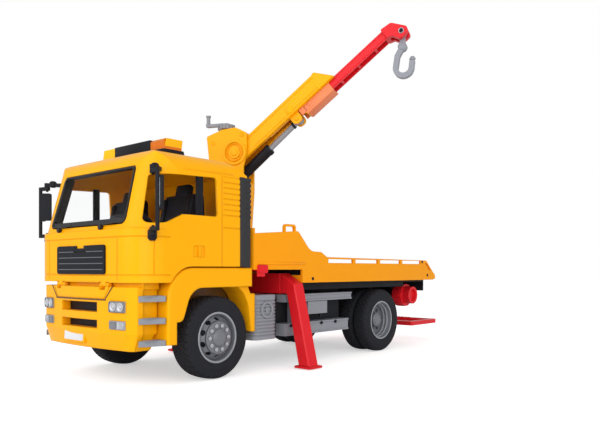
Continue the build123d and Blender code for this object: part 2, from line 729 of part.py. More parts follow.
# Light bar on the roof: a tapered base, a sloped middle and a beacon at each end
with BuildPart() as light_bar:
    with BuildSketch(front_at_cab.offset(10 - bar_back)):
        add(outline((-46.5, 176), (-44, 184.2), (44, 184.2), (46.5, 176)))
    extrude(amount=-20)
    with BuildSketch(side_at_cab):
        add(outline((bar_back - 9, 184), (bar_back - 6.5, 192, 1.5), (bar_back + 7, 192, 1.5), (bar_back + 8, 184)))
    extrude(amount=25, both=True)
    add(cab_outer.part, mode=Mode.SUBTRACT)
light_bar.part.label = "light_bar"
export_step(light_bar.part, "parts/light_bar.step")

with BuildPart() as beacon_lenses:
    with BuildSketch(front_at_cab.offset(9 - bar_back)):
        add(outline((25.1, 184.2), (25.1, 192.6), (42, 192.6), (44, 184.2)))
    extrude(amount=-17)
    chamfer(beacon_lenses.edges().group_by(Axis.Z)[-1].sort_by(Axis.Y)[0], 1.6)
    mirror(about=Plane.YZ)
beacon_lenses.part.label = "beacon_lenses"
export_step(beacon_lenses.part, "parts/beacon_lenses.step")

# Mirrors: two fixed brackets on each side carry an arm that folds about an upright pin
with BuildPart() as mirror_brackets:
    # each bracket's level, and how far back its root reaches
    for level, root in ((mirror_high, 38.5), (mirror_low, 24)):
        with Locations((mirror_x, mirror_y, level)):
            Cylinder(mirror_eye_r, 3)
        with BuildSketch(plan_at_cab.offset(level - 1.5)):
            add(outline((mirror_x - 1.5, mirror_back - 1.5), (mirror_x + 2, mirror_back + 1),
                        (body_half - 18, root + 4), (body_half - 22, root)))
        extrude(amount=3)
    with Locations((mirror_x, mirror_y, mirror_high - 3), (mirror_x, mirror_y, mirror_low + 3)):
        Cylinder(mirror_pin_r, 6)
    mirror(about=Plane.YZ)
    add(cab_outer.part, mode=Mode.SUBTRACT)
mirror_brackets.part.label = "mirror_brackets"
export_step(mirror_brackets.part, "parts/mirror_brackets.step")

for name, side in (("mirror_left", 1), ("mirror_right", -1)):
    with BuildPart() as outside_mirror:
        with BuildSketch(Plane.XY.offset(mirror_low + 1.8), Plane.XY.offset(mirror_high - 4.8)):
            with Locations((mirror_x, mirror_y)):
                Circle(mirror_eye_r)
            with Locations((mirror_x + mirror_reach, mirror_y - 2)):
                Circle(1.5)
            make_hull()
            with Locations((mirror_x, mirror_y)):
                Circle(mirror_pin_r + running_gap, mode=Mode.SUBTRACT)
        extrude(amount=3)
        with Locations((mirror_x + mirror_reach, mirror_y - 2, (mirror_low + mirror_high) / 2)):
            Cylinder(1.5, mirror_high - mirror_low - 3.6)
        glass_at = Location((mirror_x + mirror_reach - 3.6, mirror_y + 0.6, 143), (0, 0, 144.5))
        with BuildSketch(Plane(glass_at * Pos(0, -1.2, 0) * Rot(90, 0, 0))):
            RectangleRounded(10.5, 24, 1.5)
        extrude(amount=-2.4)
        if side < 0:
            mirror(about=Plane.YZ, mode=Mode.REPLACE)
    outside_mirror.part.label = name
    export_step(outside_mirror.part, "parts/" + name + ".step")


# Wheels: each section lies in the wheel's own frame, X outward and Y as the radius
rim_r = rim_dia / 2
front_half = front_tyre_width / 2
rear_half = rear_tyre_width / 2
twin_pitch = rear_tyre_width + twin_gap
twin_back = twin_pitch + rear_half
front_rim = outline((0.2 - front_half, rim_r - 1.3), (0.2 - front_half, rim_r), (front_half - 1.2, rim_r),
                    (front_half - 1.2, rim_r - 1.8), (1, rim_r - 2.9), (1, rim_r - 3.7), (4.5, rim_r - 6.9),
                    (6.6, rim_r - 7.7), (6.6, 7.2), (9.6, 6.6), (11, 4.2), (11, 0), (-3, 0), (-3, 8),
                    (3, 9), (-1.5, rim_r - 4), (-1.5, rim_r - 1.3))
rear_rim = outline((-twin_back, rim_r - 1.3), (-twin_back, rim_r), (rear_half - 0.9, rim_r),
                   (rear_half - 0.9, rim_r - 1.6), (-5, rim_r - 3.5), (-6.5, 9), (-3, 8), (1, 7.4), (2.4, 5),
                   (2.8, 0), (-twin_back, 0), (-twin_back, 7.5), (-9.5, 9), (-9.5, rim_r - 1.3))


def tyre_ring(width):
    """A tyre about the X axis, as a ring of narrow flats with bevelled shoulders."""
    with BuildPart() as ring:
        with BuildSketch(Plane.YZ.offset(-width / 2)):
            RegularPolygon(axle_z, tyre_sides)
            RegularPolygon(rim_r, tyre_sides, major_radius=False, mode=Mode.SUBTRACT)
        extrude(amount=width)
        walls = ring.faces().filter_by(Axis.X)
        chamfer(walls[0].outer_wire().edges() + walls[1].outer_wire().edges(), tyre_shoulder)
    return ring.part


front_tyre = tyre_ring(front_tyre_width)
rear_tyre = tyre_ring(rear_tyre_width)
twin_tyres = rear_tyre + rear_tyre.moved(Location((-twin_pitch, 0, 0)))

# place, Y, inset of the axle's end, tyre width, rim, tyre, then the holes' count, ring, place and radius
for place, y, inset, width, rim_form, tyre_form, holes, hole_ring, hole_x, hole_r in (
        ("front", front_y, front_axle_inset, front_tyre_width, front_rim, front_tyre, 10, rim_r - 5.2, 2, 1.9),
        ("rear", rear_y, rear_axle_inset, rear_tyre_width, rear_rim, twin_tyres, 8, rim_r - 7.1, -7, 2.1)):
    for side_name, side in (("left", 1), ("right", -1)):
        wheel_x = tyre_out - width / 2
        bore_end = body_half - inset - wheel_x + slide_gap
        at = Location((side * wheel_x, y, axle_z)) * Rot(0, 0, 90 - 90 * side)
        with BuildPart() as rim:
            revolve(rim_form, axis=Axis.X)
            for n in range(holes):
                with Locations(Rot(360 / holes * n, 0, 0) * Pos(hole_x, 0, hole_ring)):
                    Cylinder(hole_r, 14, rotation=along_x, mode=Mode.SUBTRACT)
            with Locations((bore_end - 30, 0, 0)):
                Cylinder(axle_r + running_gap, 60, rotation=along_x, mode=Mode.SUBTRACT)
        rim.part.label = "rim_" + place + "_" + side_name
        export_step(rim.part.moved(at), "parts/" + rim.part.label + ".step")
        with BuildPart() as tyre:
            add(tyre_form)
        tyre.part.label = "tyre_" + place + "_" + side_name
        export_step(tyre.part.moved(at), "parts/" + tyre.part.label + ".step")


# Turret: disc and king pin on the bed's box, two cheeks around the boom's root, pins for boom and cylinder
with BuildPart() as turret:
    with Locations((0, crane_y, box_top + 2.2)):
        Cylinder(turret_disc_r, 3.8)
    with Locations((0, crane_y, box_top - 2)):
        Cylinder(king_pin_r, 8)
    with Locations((0, crane_y, box_top - 4.4)):
        Cylinder(king_pin_r + 2, 3)
    with BuildSketch(crane_plane.offset(-turret_half)):
        add(outline((-21.3, 216, 2), (-6, 221.5, 12), (9, 223.2, 8), (20.5, 217.5, 3), (20.5, 197, 10),
                    (17, 186, 10), (17, 165, 20), (13.5, box_top + 4), (-14.5, box_top + 4), (-18.5, 190, 20)))
    extrude(amount=2 * turret_half)
    with BuildSketch(crane_plane.offset(-boom_half - cheek_gap)):
        add(outline((-16, 172, 3), (30, 172), (30, 230), (9, 230), (9, 217), (-3, 217), (-16, 213, 3)))
    extrude(amount=2 * (boom_half + cheek_gap), mode=Mode.SUBTRACT)
    # a boss around the boom's pin on each cheek, a ring around a button
    for side in sides:
        with BuildSketch(crane_plane.offset(side * turret_half)):
            with Locations((pivot_u, pivot_z)):
                Circle(boss_r)
                Circle(boss_r - 2.5, mode=Mode.SUBTRACT)
                Circle(boss_r / 2)
        extrude(amount=side * 1.2)
    with BuildSketch(crane_plane.offset(-turret_half)):
        with Locations((pivot_u, pivot_z)):
            Circle(pivot_r)
        with Locations((foot_u, foot_z)):
            Circle(pin_r)
    extrude(amount=2 * turret_half)
    with Locations(crane_upright * Pos(crank_u, 0, crank_z)):
        Cylinder(4.2, 5)
        Cylinder(crank_r + running_gap, 20, mode=Mode.SUBTRACT)
turret.part.label = "turret"
export_step(turret.part, "parts/turret.step")

# Crank: a notched disc with a flat arm and an upright handle
with BuildPart() as crank:
    with Locations(crane_upright * Pos(crank_u, 0, crank_z)):
        with Locations((0, 0, -0.8)):
            Cylinder(crank_r, 7)
        with Locations((0, 0, 4.9)):
            Cylinder(8.5, 4.4)
            with PolarLocations(8.5, 16):
                Box(1.4, 1.4, 4.4, mode=Mode.SUBTRACT)
        with Locations((-10.5, 0, 7.7)):
            Box(21, 5, 2.4)
        with Locations((-19.5, 0, 12.3)):
            Cylinder(1.9, 11)
crank.part.label = "crank"
export_step(crank.part, "parts/crank.step")

# Outer boom: a hollow box cut to its side view, with a channel under its far end for the inner boom
with BuildPart() as outer_boom:
    with BuildSketch(boom_section):
        with Locations((0, (boom_top + boom_bottom) / 2)):
            RectangleRounded(2 * boom_half, boom_top - boom_bottom, 1)
    extrude(amount=boom_tip - boom_root)
    with BuildSketch(boom_plane):
        add(outline((boom_root, boom_bottom, 2), (boom_root, boom_top, 3), (boom_end, boom_top),
                    (boom_tip, boom_bottom)))
    extrude(amount=boom_half, both=True, mode=Mode.INTERSECT)
    with BuildSketch(boom_plane.offset(-channel_half)):
        add(outline((channel_start, boom_bottom + 1), (channel_end, boom_bottom + 1),
                    (channel_end - 2, channel_bottom, 1.5), (channel_start + 5, channel_bottom, 3)))
    extrude(amount=2 * channel_half)
    with BuildSketch(boom_section):
        with Locations((0, (boom_top + boom_bottom) / 2)):
            Rectangle(2 * (boom_half - boom_wall), boom_top - boom_bottom - 2 * boom_wall)
    extrude(amount=boom_tip - boom_root, mode=Mode.SUBTRACT)
    # the two ears that hold the cylinder's eye between them
    with BuildSketch(boom_plane.offset(-ear_half)):
        add(outline((eye_s - 5, boom_bottom + boom_wall), (eye_s - 5, eye_t - 4, 4), (eye_s + 5, eye_t - 4, 4),
                    (eye_s + 5, boom_bottom + boom_wall)))
    extrude(amount=2 * ear_half)
    with BuildSketch(boom_plane.offset(-ear_half - 0.8)):
        with Locations((eye_s, eye_t)):
            Circle(pin_r)
    extrude(amount=2 * ear_half + 1.6)
    with BuildSketch(boom_plane.offset(-eye_half - eye_gap)):
        with Locations((eye_s, eye_t)):
            Rectangle(11, 6 * eye_r)
    extrude(amount=2 * (eye_half + eye_gap), mode=Mode.SUBTRACT)
    # the inner boom's slot through the channel, and the openings above the cylinder
    with BuildSketch(boom_plane.offset(-inner_half - slide_gap)):
        with Locations((channel_start + 42, (inner_top + inner_bottom) / 2)):
            Rectangle(84, inner_top - inner_bottom + 2 * slide_gap)
    extrude(amount=2 * (inner_half + slide_gap), mode=Mode.SUBTRACT)
    with BuildSketch(boom_underside):
        with Locations((10, 0)):
            Rectangle(50, 2 * (inner_half + slide_gap))
        with Locations((channel_start / 2, 0)):
            Rectangle(channel_start, 2 * (eye_half + eye_gap))
    extrude(amount=boom_wall + 0.5, both=True, mode=Mode.SUBTRACT)
    with BuildSketch(boom_plane.offset(-turret_half)):
        Circle(pivot_r + running_gap)
    extrude(amount=2 * turret_half, mode=Mode.SUBTRACT)
outer_boom.part.label = "outer_boom"
export_step(outer_boom.part, "parts/outer_boom.step")

# Inner boom: an open channel with cross ribs and a forked head for the hook
with BuildPart() as inner_boom:
    with BuildSketch(boom_plane.offset(-inner_half)):
        with Locations(((inner_start + inner_end) / 2, (inner_top + inner_bottom) / 2)):
            Rectangle(inner_end - inner_start, inner_top - inner_bottom)
    extrude(amount=2 * inner_half)
    with BuildSketch(boom_plane.offset(-head_half)):
        add(outline((171.5, -7.5, 1.5), (182.4, -9.2, 4), (190.5, -21.6, 3), (188.8, -26.2, 3), (179.4, -26.3, 3),
                    (176.1, -19.2, 2), (171.5, -17.3)))
    extrude(amount=2 * head_half)
    with BuildSketch(boom_plane.offset(inner_wall - inner_half)):
        with Locations((inner_start + 37, inner_bottom + 3.1)):
            Rectangle(76, 7)
    extrude(amount=2 * (inner_half - inner_wall), mode=Mode.SUBTRACT)
    with BuildSketch(boom_plane.offset(inner_wall / 2 - inner_half)):
        with Locations((inner_start + 43, (inner_top + inner_bottom) / 2)):
            with GridLocations(20, 0, 3, 1):
                Rectangle(2.4, inner_top - inner_bottom - 1)
    extrude(amount=2 * inner_half - inner_wall)
    with BuildSketch(boom_plane.offset(-3.4)):
        add(outline((175.5, -16.5), (189, -16.5), (196, -22), (196, -30), (168, -30), (172.5, -20)))
    extrude(amount=6.8, mode=Mode.SUBTRACT)
    with BuildSketch(boom_plane.offset(-head_half)):
        with Locations((head_s, head_t)):
            Circle(hook_pin_r)
    extrude(amount=2 * head_half)
inner_boom.part.label = "inner_boom"
export_step(inner_boom.part, "parts/inner_boom.step")

# Cylinder: the barrel turns on its foot, and the rod carries a round eye between the boom's ears
with BuildPart() as cylinder_barrel:
    with BuildSketch(cylinder_plane.offset(-4)):
        Circle(4)
    extrude(amount=8)
    with Locations(cylinder_plane.location * Pos((3 + barrel_len) / 2, 0, 0)):
        Cylinder(barrel_r, barrel_len - 3, rotation=along_x)
    with Locations(cylinder_plane.location * Pos((7 + barrel_len) / 2, 0, 0)):
        Cylinder(rod_r + running_gap, barrel_len - 6, rotation=along_x, mode=Mode.SUBTRACT)
    with BuildSketch(cylinder_plane.offset(-barrel_r)):
        Circle(pin_r + running_gap)
    extrude(amount=2 * barrel_r, mode=Mode.SUBTRACT)
cylinder_barrel.part.label = "cylinder_barrel"
export_step(cylinder_barrel.part, "parts/cylinder_barrel.step")

with BuildPart() as cylinder_rod:
    with Locations(cylinder_plane.location * Pos((rod_start + cylinder_len) / 2, 0, 0)):
        Cylinder(rod_r, cylinder_len - rod_start, rotation=along_x)
    with BuildSketch(cylinder_plane.offset(-eye_half)):
        with Locations((cylinder_len, 0)):
            Circle(eye_r)
    extrude(amount=2 * eye_half)
cylinder_rod.part.label = "cylinder_rod"
export_step(cylinder_rod.part, "parts/cylinder_rod.step")

# Hook: an eye on the head's pin, a shank with a boss, and the curved tip
head = Vector(head_s, head_t).rotate(Axis.Z, luff_deg) + Vector(pivot_u, pivot_z)
with BuildPart() as hook:
    with BuildSketch(Plane(crane_plane.location * Pos(head.X, head.Y, -hook_half))):
        with BuildLine():
            Polyline((0, 0), (0, -12), (-4.6, -20), (-6, -29.5))
            ThreePointArc((-6, -29.5), (0.8, -37.6), (8, -31))
            Line((8, -31), (8.6, -25))
        trace(line_width=4.6)
        Circle(3.4)
        with Locations((0, -12)):
            Circle(4)
        Circle(hook_pin_r + running_gap, mode=Mode.SUBTRACT)
    extrude(amount=2 * hook_half)
hook.part.label = "hook"
export_step(hook.part, "parts/hook.step")
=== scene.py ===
import math

import bmesh
import bpy
from mathutils import Euler, Matrix, Vector


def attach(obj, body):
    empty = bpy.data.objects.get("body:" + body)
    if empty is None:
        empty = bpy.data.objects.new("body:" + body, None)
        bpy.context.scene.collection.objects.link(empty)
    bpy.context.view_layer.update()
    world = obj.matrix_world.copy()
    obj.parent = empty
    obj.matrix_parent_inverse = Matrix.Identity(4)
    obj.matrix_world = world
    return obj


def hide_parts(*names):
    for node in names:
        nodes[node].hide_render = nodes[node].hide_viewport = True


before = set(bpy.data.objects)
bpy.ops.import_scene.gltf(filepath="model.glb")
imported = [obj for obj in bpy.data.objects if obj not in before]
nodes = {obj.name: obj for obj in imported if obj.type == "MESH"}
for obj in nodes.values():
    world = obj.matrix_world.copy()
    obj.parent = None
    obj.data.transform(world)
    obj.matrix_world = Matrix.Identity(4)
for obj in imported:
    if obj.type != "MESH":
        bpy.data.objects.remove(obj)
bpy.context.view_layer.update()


# Chassis: rails, axles and the plate under the bed, moulded in black ABS with the fine
# texture of a spark-eroded mould. Every plastic here is made by the same function: its
# colour drifts a little, its edges are soft, and a grain breaks up its gloss.
def linear(hex_colour):
    """An sRGB colour, written as rrggbb, as Blender's linear RGBA."""
    channels = [int(hex_colour[i:i + 2], 16) / 255 for i in (0, 2, 4)]
    return [c / 12.92 if c <= 0.04045 else ((c + 0.055) / 1.055) ** 2.4 for c in channels] + [1.0]


def add_node(material, kind, settings=None, links=None):
    """A shader node of that kind, with its settings and the sockets that feed its inputs."""
    node = material.node_tree.nodes.new(kind)
    for name, value in (settings or {}).items():
        if hasattr(node, name):
            setattr(node, name, value)
        else:
            node.inputs[name].default_value = value
    for name, socket in (links or {}).items():
        material.node_tree.links.new(socket, node.inputs[name])
    return node


def moulded(name, colour, shade, gloss, grain_mm=0.35, grain_depth=0.004, edge_mm=0.35, **extra):
    """Moulded plastic: colour drifts towards shade, edges look rounded, and a grain dulls it."""
    cloud_mm = 25
    mix_a, mix_b, mix_result = 6, 7, 2  # the Mix node's sockets for colour
    material = bpy.data.materials.new(name)
    material.use_nodes = True
    shader = material.node_tree.nodes["Principled BSDF"]
    links = material.node_tree.links
    place = add_node(material, "ShaderNodeTexCoord")
    cloud = add_node(material, "ShaderNodeTexNoise", {"Scale": 1000 / cloud_mm, "Detail": 3.0},
                     {"Vector": place.outputs["Object"]})
    tint = add_node(material, "ShaderNodeMix", {"data_type": "RGBA"},
                    {"Factor": cloud.outputs["Fac"]})
    tint.inputs[mix_a].default_value = linear(colour)
    tint.inputs[mix_b].default_value = linear(shade)
    rub = add_node(material, "ShaderNodeMapRange",
                   {"From Min": 0.3, "From Max": 0.7,
                    "To Min": gloss - 0.04, "To Max": gloss + 0.06},
                   {"Value": cloud.outputs["Fac"]})
    # a mould's real grain is too fine to show, so it is drawn as coarse as grain_mm
    grain = add_node(material, "ShaderNodeTexNoise", {"Scale": 1000 / grain_mm, "Detail": 2.0},
                     {"Vector": place.outputs["Object"]})
    bump = add_node(material, "ShaderNodeBump", {"Strength": 0.25, "Distance": grain_depth / 1000},
                    {"Height": grain.outputs["Fac"]})
    if edge_mm:
        soft = add_node(material, "ShaderNodeBevel", {"samples": 4, "Radius": edge_mm / 1000})
        links.new(soft.outputs["Normal"], bump.inputs["Normal"])
    links.new(tint.outputs[mix_result], shader.inputs["Base Color"])
    links.new(rub.outputs["Result"], shader.inputs["Roughness"])
    links.new(bump.outputs["Normal"], shader.inputs["Normal"])
    for socket, value in extra.items():
        shader.inputs[socket.replace("_", " ")].default_value = value
    return material


def dress(material, *names):
    """Gives CAD nodes their finish."""
    for name in names:
        nodes[name].data.materials.clear()
        nodes[name].data.materials.append(material)


# satin black, too dull from its texture for a sharp reflection
black_abs = moulded("black_moulded_abs", "1c1d22", "222329", 0.36, Specular_IOR_Level=0.1)
dress(black_abs, "chassis_frame", "deck_plate", "plate_skirts", "front_axle", "rear_axle",
      "engine_block")


# Rear lamps: clear red polystyrene caps with a raised rim, three to a side, pressed onto the
# chassis' rear plate. A plate is a flat outline with rounded corners that faces the front,
# grown to its thickness.
def at(x, y, z, turn=(0, 0, 0)):
    """The place x, y, z in mm, turned by degrees."""
    return Matrix.LocRotScale(Vector((x, y, z)), Euler([math.radians(a) for a in turn]), None)


def plate(form, corners, bend, depth, lip=0.0, sink=0.0, hollow=False, place=Matrix()):
    """Adds a plate with these (x, z) corners; it grows towards -Y, its middle sunk or open."""
    known = set(form.verts)
    face = form.faces.new([form.verts.new((x, 0, z)) for x, z in corners])
    bmesh.ops.bevel(form, geom=list(face.verts), offset=bend, segments=4, affect="VERTICES",
                    profile=0.5, material=-1)
    front = [f for f in form.faces if f.verts[0] not in known]
    if hollow:
        ring = bmesh.ops.inset_region(form, faces=front, thickness=lip, use_boundary=True,
                                      use_even_offset=True)["faces"]
        middle = [f for f in front if f.is_valid and f not in ring]
        bmesh.ops.delete(form, geom=middle, context="FACES_ONLY")
        front = ring
    grown = bmesh.ops.extrude_face_region(form, geom=front)["geom"]
    bmesh.ops.translate(form, vec=(0, -depth, 0),
                        verts=[g for g in grown if isinstance(g, bmesh.types.BMVert)])
    if lip and not hollow:
        top = [g for g in grown if isinstance(g, bmesh.types.BMFace)]
        bmesh.ops.inset_region(form, faces=top, thickness=lip, depth=-sink, use_even_offset=True)
    bmesh.ops.transform(form, matrix=place, verts=[v for v in form.verts if v not in known])


def put(name, form, material, body, place=Matrix(), smooth_deg=40):
    """Makes the form, in mm, a piece of that finish that rides on the body."""
    form.transform(Matrix.Scale(0.001, 4) @ place)
    bmesh.ops.recalc_face_normals(form, faces=form.faces)
    mesh = bpy.data.meshes.new(name)
    form.to_mesh(mesh)
    form.free()
    mesh.shade_smooth()
    mesh.set_sharp_from_angle(angle=math.radians(smooth_deg))
    mesh.materials.append(material)
    piece = bpy.data.objects.new(name, mesh)
    bpy.context.scene.collection.objects.link(piece)
    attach(piece, body)
    return piece


to_left = Matrix.Identity(4)
to_right = Matrix.Scale(-1, 4, (1, 0, 0))
both = (("left", to_left), ("right", to_right))
# clear red, which glows a little where light passes through it
red_lens = moulded("red_clear_polystyrene", "c01018", "b00e16", 0.12, Transmission_Weight=0.3)
lamp_half = 2.9
for hand, hand_place in both:
    form = bmesh.new()
    for x in (-6.2, 0, 6.2):
        plate(form, ((x - lamp_half, -3.2), (x + lamp_half, -3.2),
                     (x + lamp_half, 3.2), (x - lamp_half, 3.2)), 0.9, 1.2, 0.6, 0.4)
    put("rear_lamp_" + hand, form, red_lens, "truck",
        hand_place @ at(52, 216, 69.6, (0, 0, 180)))


# Bumper: one glossy yellow ABS moulding with the sleeves of its two slots. A lip runs inside
# its top edge, a strip of dark brown painted shade outlines the flap over the slots, and the
# plate holder is a block on the valance with a blank white plate pressed into it.
def block(form, size, centre, turn=(0, 0, 0), round_mm=0.3):
    """Adds a block with rounded edges, in mm, turned by degrees about its centre."""
    made = bmesh.ops.create_cube(form, size=1.0)["verts"]
    angles = Euler([math.radians(a) for a in turn])
    bmesh.ops.transform(form, matrix=Matrix.LocRotScale(Vector(centre), angles, Vector(size)),
                        verts=made)
    edges = list({edge for vert in made for edge in vert.link_edges})
    bmesh.ops.bevel(form, geom=edges, offset=round_mm, segments=2, affect="EDGES", profile=0.5,
                    material=-1)


# one bright, glossy yellow; its second finish has the wider edges of the bumper and fenders
yellow_abs = moulded("yellow_moulded_abs", "fdb20c", "fbae08", 0.2, grain_depth=0.002,
                     edge_mm=0.9, Specular_IOR_Level=0.1)
yellow_rounded = moulded("yellow_moulded_abs_full_radius", "fdb20c", "fbae08", 0.2,
                         grain_depth=0.002, edge_mm=2.0, Specular_IOR_Level=0.1)
dress(yellow_rounded, "bumper")
lip_z, lip_tall = 77, 7.5
form = bmesh.new()
block(form, (104, 1.2, lip_tall), (6, -191.4, lip_z), round_mm=0.3)
block(form, (11, 1.2, lip_tall), (62, -188.6, lip_z), turn=(0, 0, 32), round_mm=0.3)
block(form, (1.2, 15, lip_tall), (65.4, -179.4, lip_z), round_mm=0.3)
put("bumper_inner_lip", form, yellow_abs, "truck")
# painted shade: the dark brown that yellow plastic shows in a gap's or hollow's shadow
shade_brown_abs = moulded("painted_shade_brown_abs", "6b4510", "61400e", 0.4)
bumper_half, bumper_bow, groove_y = 58, 4, -199.42
# strips of painted shade along the groove under and beside the flap
form = bmesh.new()
for n in range(9):
    x = 8 * n - 32
    block(form, (8.4, 0.6, 1.3), (x, bumper_bow * (x / bumper_half) ** 2 + groove_y, 65.5),
          turn=(0, 0, math.degrees(2 * bumper_bow * x / bumper_half ** 2)), round_mm=0.1)
for side in (-1, 1):
    block(form, (13.6, 0.6, 1.1), (side * 39.4, -197.66, 70.4), turn=(0, side * -47, side * 5),
          round_mm=0.1)
put("flap_groove_shade", form, shade_brown_abs, "truck")
white_ps = moulded("white_polystyrene", "dfe1e5", "dadce0", 0.3)
plate_lean = (-4, 0, 0)
form = bmesh.new()
plate(form, ((-15.5, -5.5), (15.5, -5.5), (15.5, 5.5), (-15.5, 5.5)), 1, 4.4)
put("plate_holder", form, yellow_abs, "truck",
    at(-7.5, -194.2, 36.7, plate_lean))
form = bmesh.new()
plate(form, ((-13.6, -4.1), (13.6, -4.1), (13.6, 4.1), (-13.6, 4.1)), 0.8, 0.5, 0.5, 0.2)
put("blank_number_plate", form, white_ps, "truck",
    at(-7.9, -198.5, 36.9, plate_lean))


# Head lamps and fog lamps: silver-grey ABS inserts in the bumper's openings. The upper one has
# a frame and two round bowls, the lower one a ribbed lens beside a darker reflector, and their
# faces follow the bumper's curve.
def turned(form, section, steps=32, closed=False, place=Matrix()):
    """Adds a section of (x, radius) points spun about X; a closed section makes a ring."""
    known = set(form.verts)
    points = [form.verts.new((x, 0, r)) for x, r in section]
    edges = [form.edges.new(pair) for pair in zip(points, points[1:])]
    if closed:
        edges.append(form.edges.new((points[-1], points[0])))
    bmesh.ops.spin(form, geom=points + edges, cent=(0, 0, 0), axis=(1, 0, 0), dvec=(0, 0, 0),
                   angle=math.tau, steps=steps, use_merge=True)
    spun = [v for v in form.verts if v not in known]
    bmesh.ops.remove_doubles(form, verts=spun, dist=0.001)
    bmesh.ops.transform(form, matrix=place, verts=[v for v in form.verts if v not in known])


# silver paint over ABS: bright and half metallic; the frame and the base stay plain grey
lamp_silver = moulded("silver_painted_abs", "c4c7cc", "b9bcc2", 0.22, Metallic=0.35)
lamp_base = moulded("silver_lamp_base", "a4a7ad", "9a9da3", 0.3)
lamp_rim = moulded("lamp_frame_grey_abs", "7a7d84", "72757c", 0.3)
dress(lamp_base, "head_lamps")
lamp_bowl = ((0, 3.5), (-0.6, 3.5), (-0.7, 3.2), (-0.2, 2.6), (-0.1, 1.4), (-0.6, 1.2),
             (-0.9, 0.6), (-0.95, 0))
lamp_x, lamp_y, lamp_turn = 49.5, -197.35, (0, 0, 6.7)
to_front = Matrix.Rotation(math.pi / 2, 4, "Z")
for hand, hand_place in both:
    upper = hand_place @ at(lamp_x, lamp_y, 60.65, lamp_turn)
    lower = hand_place @ at(lamp_x, lamp_y, 47.15, lamp_turn)
    form = bmesh.new()
    for x in (-4.1, 4.1):
        turned(form, lamp_bowl, 28, place=at(x, 0, 0) @ to_front)
    put("head_lamp_bowls_" + hand, form, lamp_silver, "truck", upper)
    form = bmesh.new()
    plate(form, ((-8.5, -4.05), (8.5, -4.05), (8.5, 4.05), (-8.5, 4.05)), 1.4, 0.7, 0.55,
          hollow=True)
    put("head_lamp_rim_" + hand, form, lamp_rim, "truck", upper)
    form = bmesh.new()
    plate(form, ((0.4, -2.7), (8.0, -2.7), (8.0, 2.7), (0.4, 2.7)), 0.8, 0.5, 0.4, 0.25)
    for n in range(5):
        block(form, (0.5, 0.4, 4.4), (1.6 + 1.3 * n, -0.4, 0), round_mm=0.12)
    put("fog_lamp_lens_" + hand, form, lamp_silver, "truck", lower)
    form = bmesh.new()
    plate(form, ((-8.0, -2.7), (-0.4, -2.7), (-0.4, 2.7), (-8.0, 2.7)), 0.8, 0.5, 0.4, 0.25)
    put("fog_lamp_reflector_" + hand, form, lamp_rim, "truck", lower)


# Wheel houses: a thin wall inboard of each front wheel, with its corners rounded, in the dark
# brown of painted shade. It closes the arch, so that the frame doesn't show behind the wheel.
for hand, hand_place in both:
    form = bmesh.new()
    plate(form, ((-158, 44), (-150, 66), (-144, 76), (-84, 76), (-80, 60), (-80, 44)), 3, 1.2,
          place=hand_place @ at(47.6, 0, 0, (0, 0, 90)))
    put("wheel_house_" + hand, form, shade_brown_abs, "truck")


# Fenders and steps: the fenders share the bumper's yellow. The treads stand at three heights
# between bumper and fender, in half-glossy silver-grey ABS with four moulded cleats on each.
grey_abs = moulded("silver_grey_moulded_abs", "93969e", "8b8e96", 0.3, Specular_IOR_Level=0.2)
dress(yellow_rounded, "front_fenders")
dress(grey_abs, "steps")
tread_tops = (36.1, 52.4, 68.7)
for hand, hand_place in both:
    form = bmesh.new()
    for top in tread_tops:
        for n in range(4):
            block(form, (1.1, 14, 0.5), (66.8 + 1.8 * n, -180.6, top), round_mm=0.15)
    put("step_cleats_" + hand, form, grey_abs, "truck", hand_place)


# Side equipment: a ribbed silencer box in grey ABS with a ring around a round button, then two
# grey rails on black brackets, with black screws along the lower one. The tanks and the sill
# inside the rails are black.
dress(grey_abs, "side_boxes", "side_rails")
dress(black_abs, "fuel_tanks")
ring_place = at(0, -60.5, 53)
for hand, hand_place in both:
    form = bmesh.new()
    turned(form, ((69.9, 5.4), (71.1, 5.4), (71.4, 6.2), (71.1, 7.4), (69.9, 7.6)), 40, True,
           ring_place)
    turned(form, ((69.9, 2.2), (70.8, 2.0), (70.9, 0)), 24, place=ring_place)
    put("silencer_ring_" + hand, form, grey_abs, "truck", hand_place)
    form = bmesh.new()
    for y in (-4, 22):
        block(form, (2, 3.2, 12), (63.2, y, 48), round_mm=0.4)
    for y in (-26, 18, 40):
        turned(form, ((67.4, 0), (69, 0), (69, 1.3), (68.6, 1.6), (67.4, 1.6)), 12,
               place=at(0, y, 36.8))
    put("rail_brackets_" + hand, form, black_abs, "truck", hand_place)
    form = bmesh.new()
    block(form, (1.4, 72, 11), (41, 44, 68.8), round_mm=0.4)
    put("inner_sill_" + hand, form, black_abs, "truck", hand_place)


# Outriggers: a beam of clean, glossy red ABS under the bed's box, with a leg sliding in each
# end. A catch hooks the beam to the bed's side.
red_abs = moulded("red_moulded_abs", "e5202a", "dd1c26", 0.22, grain_depth=0.002, edge_mm=0.7,
                  Specular_IOR_Level=0.2)
dress(red_abs, "outrigger_beam", "outrigger_leg_left", "outrigger_leg_right")
for hand, hand_place in both:
    form = bmesh.new()
    block(form, (1.4, 9, 6), (77.6, -75.5, 85), round_mm=0.4)
    block(form, (8, 9, 1.4), (74.2, -75.5, 87.6), round_mm=0.4)
    put("beam_catch_" + hand, form, red_abs, "truck", hand_place)


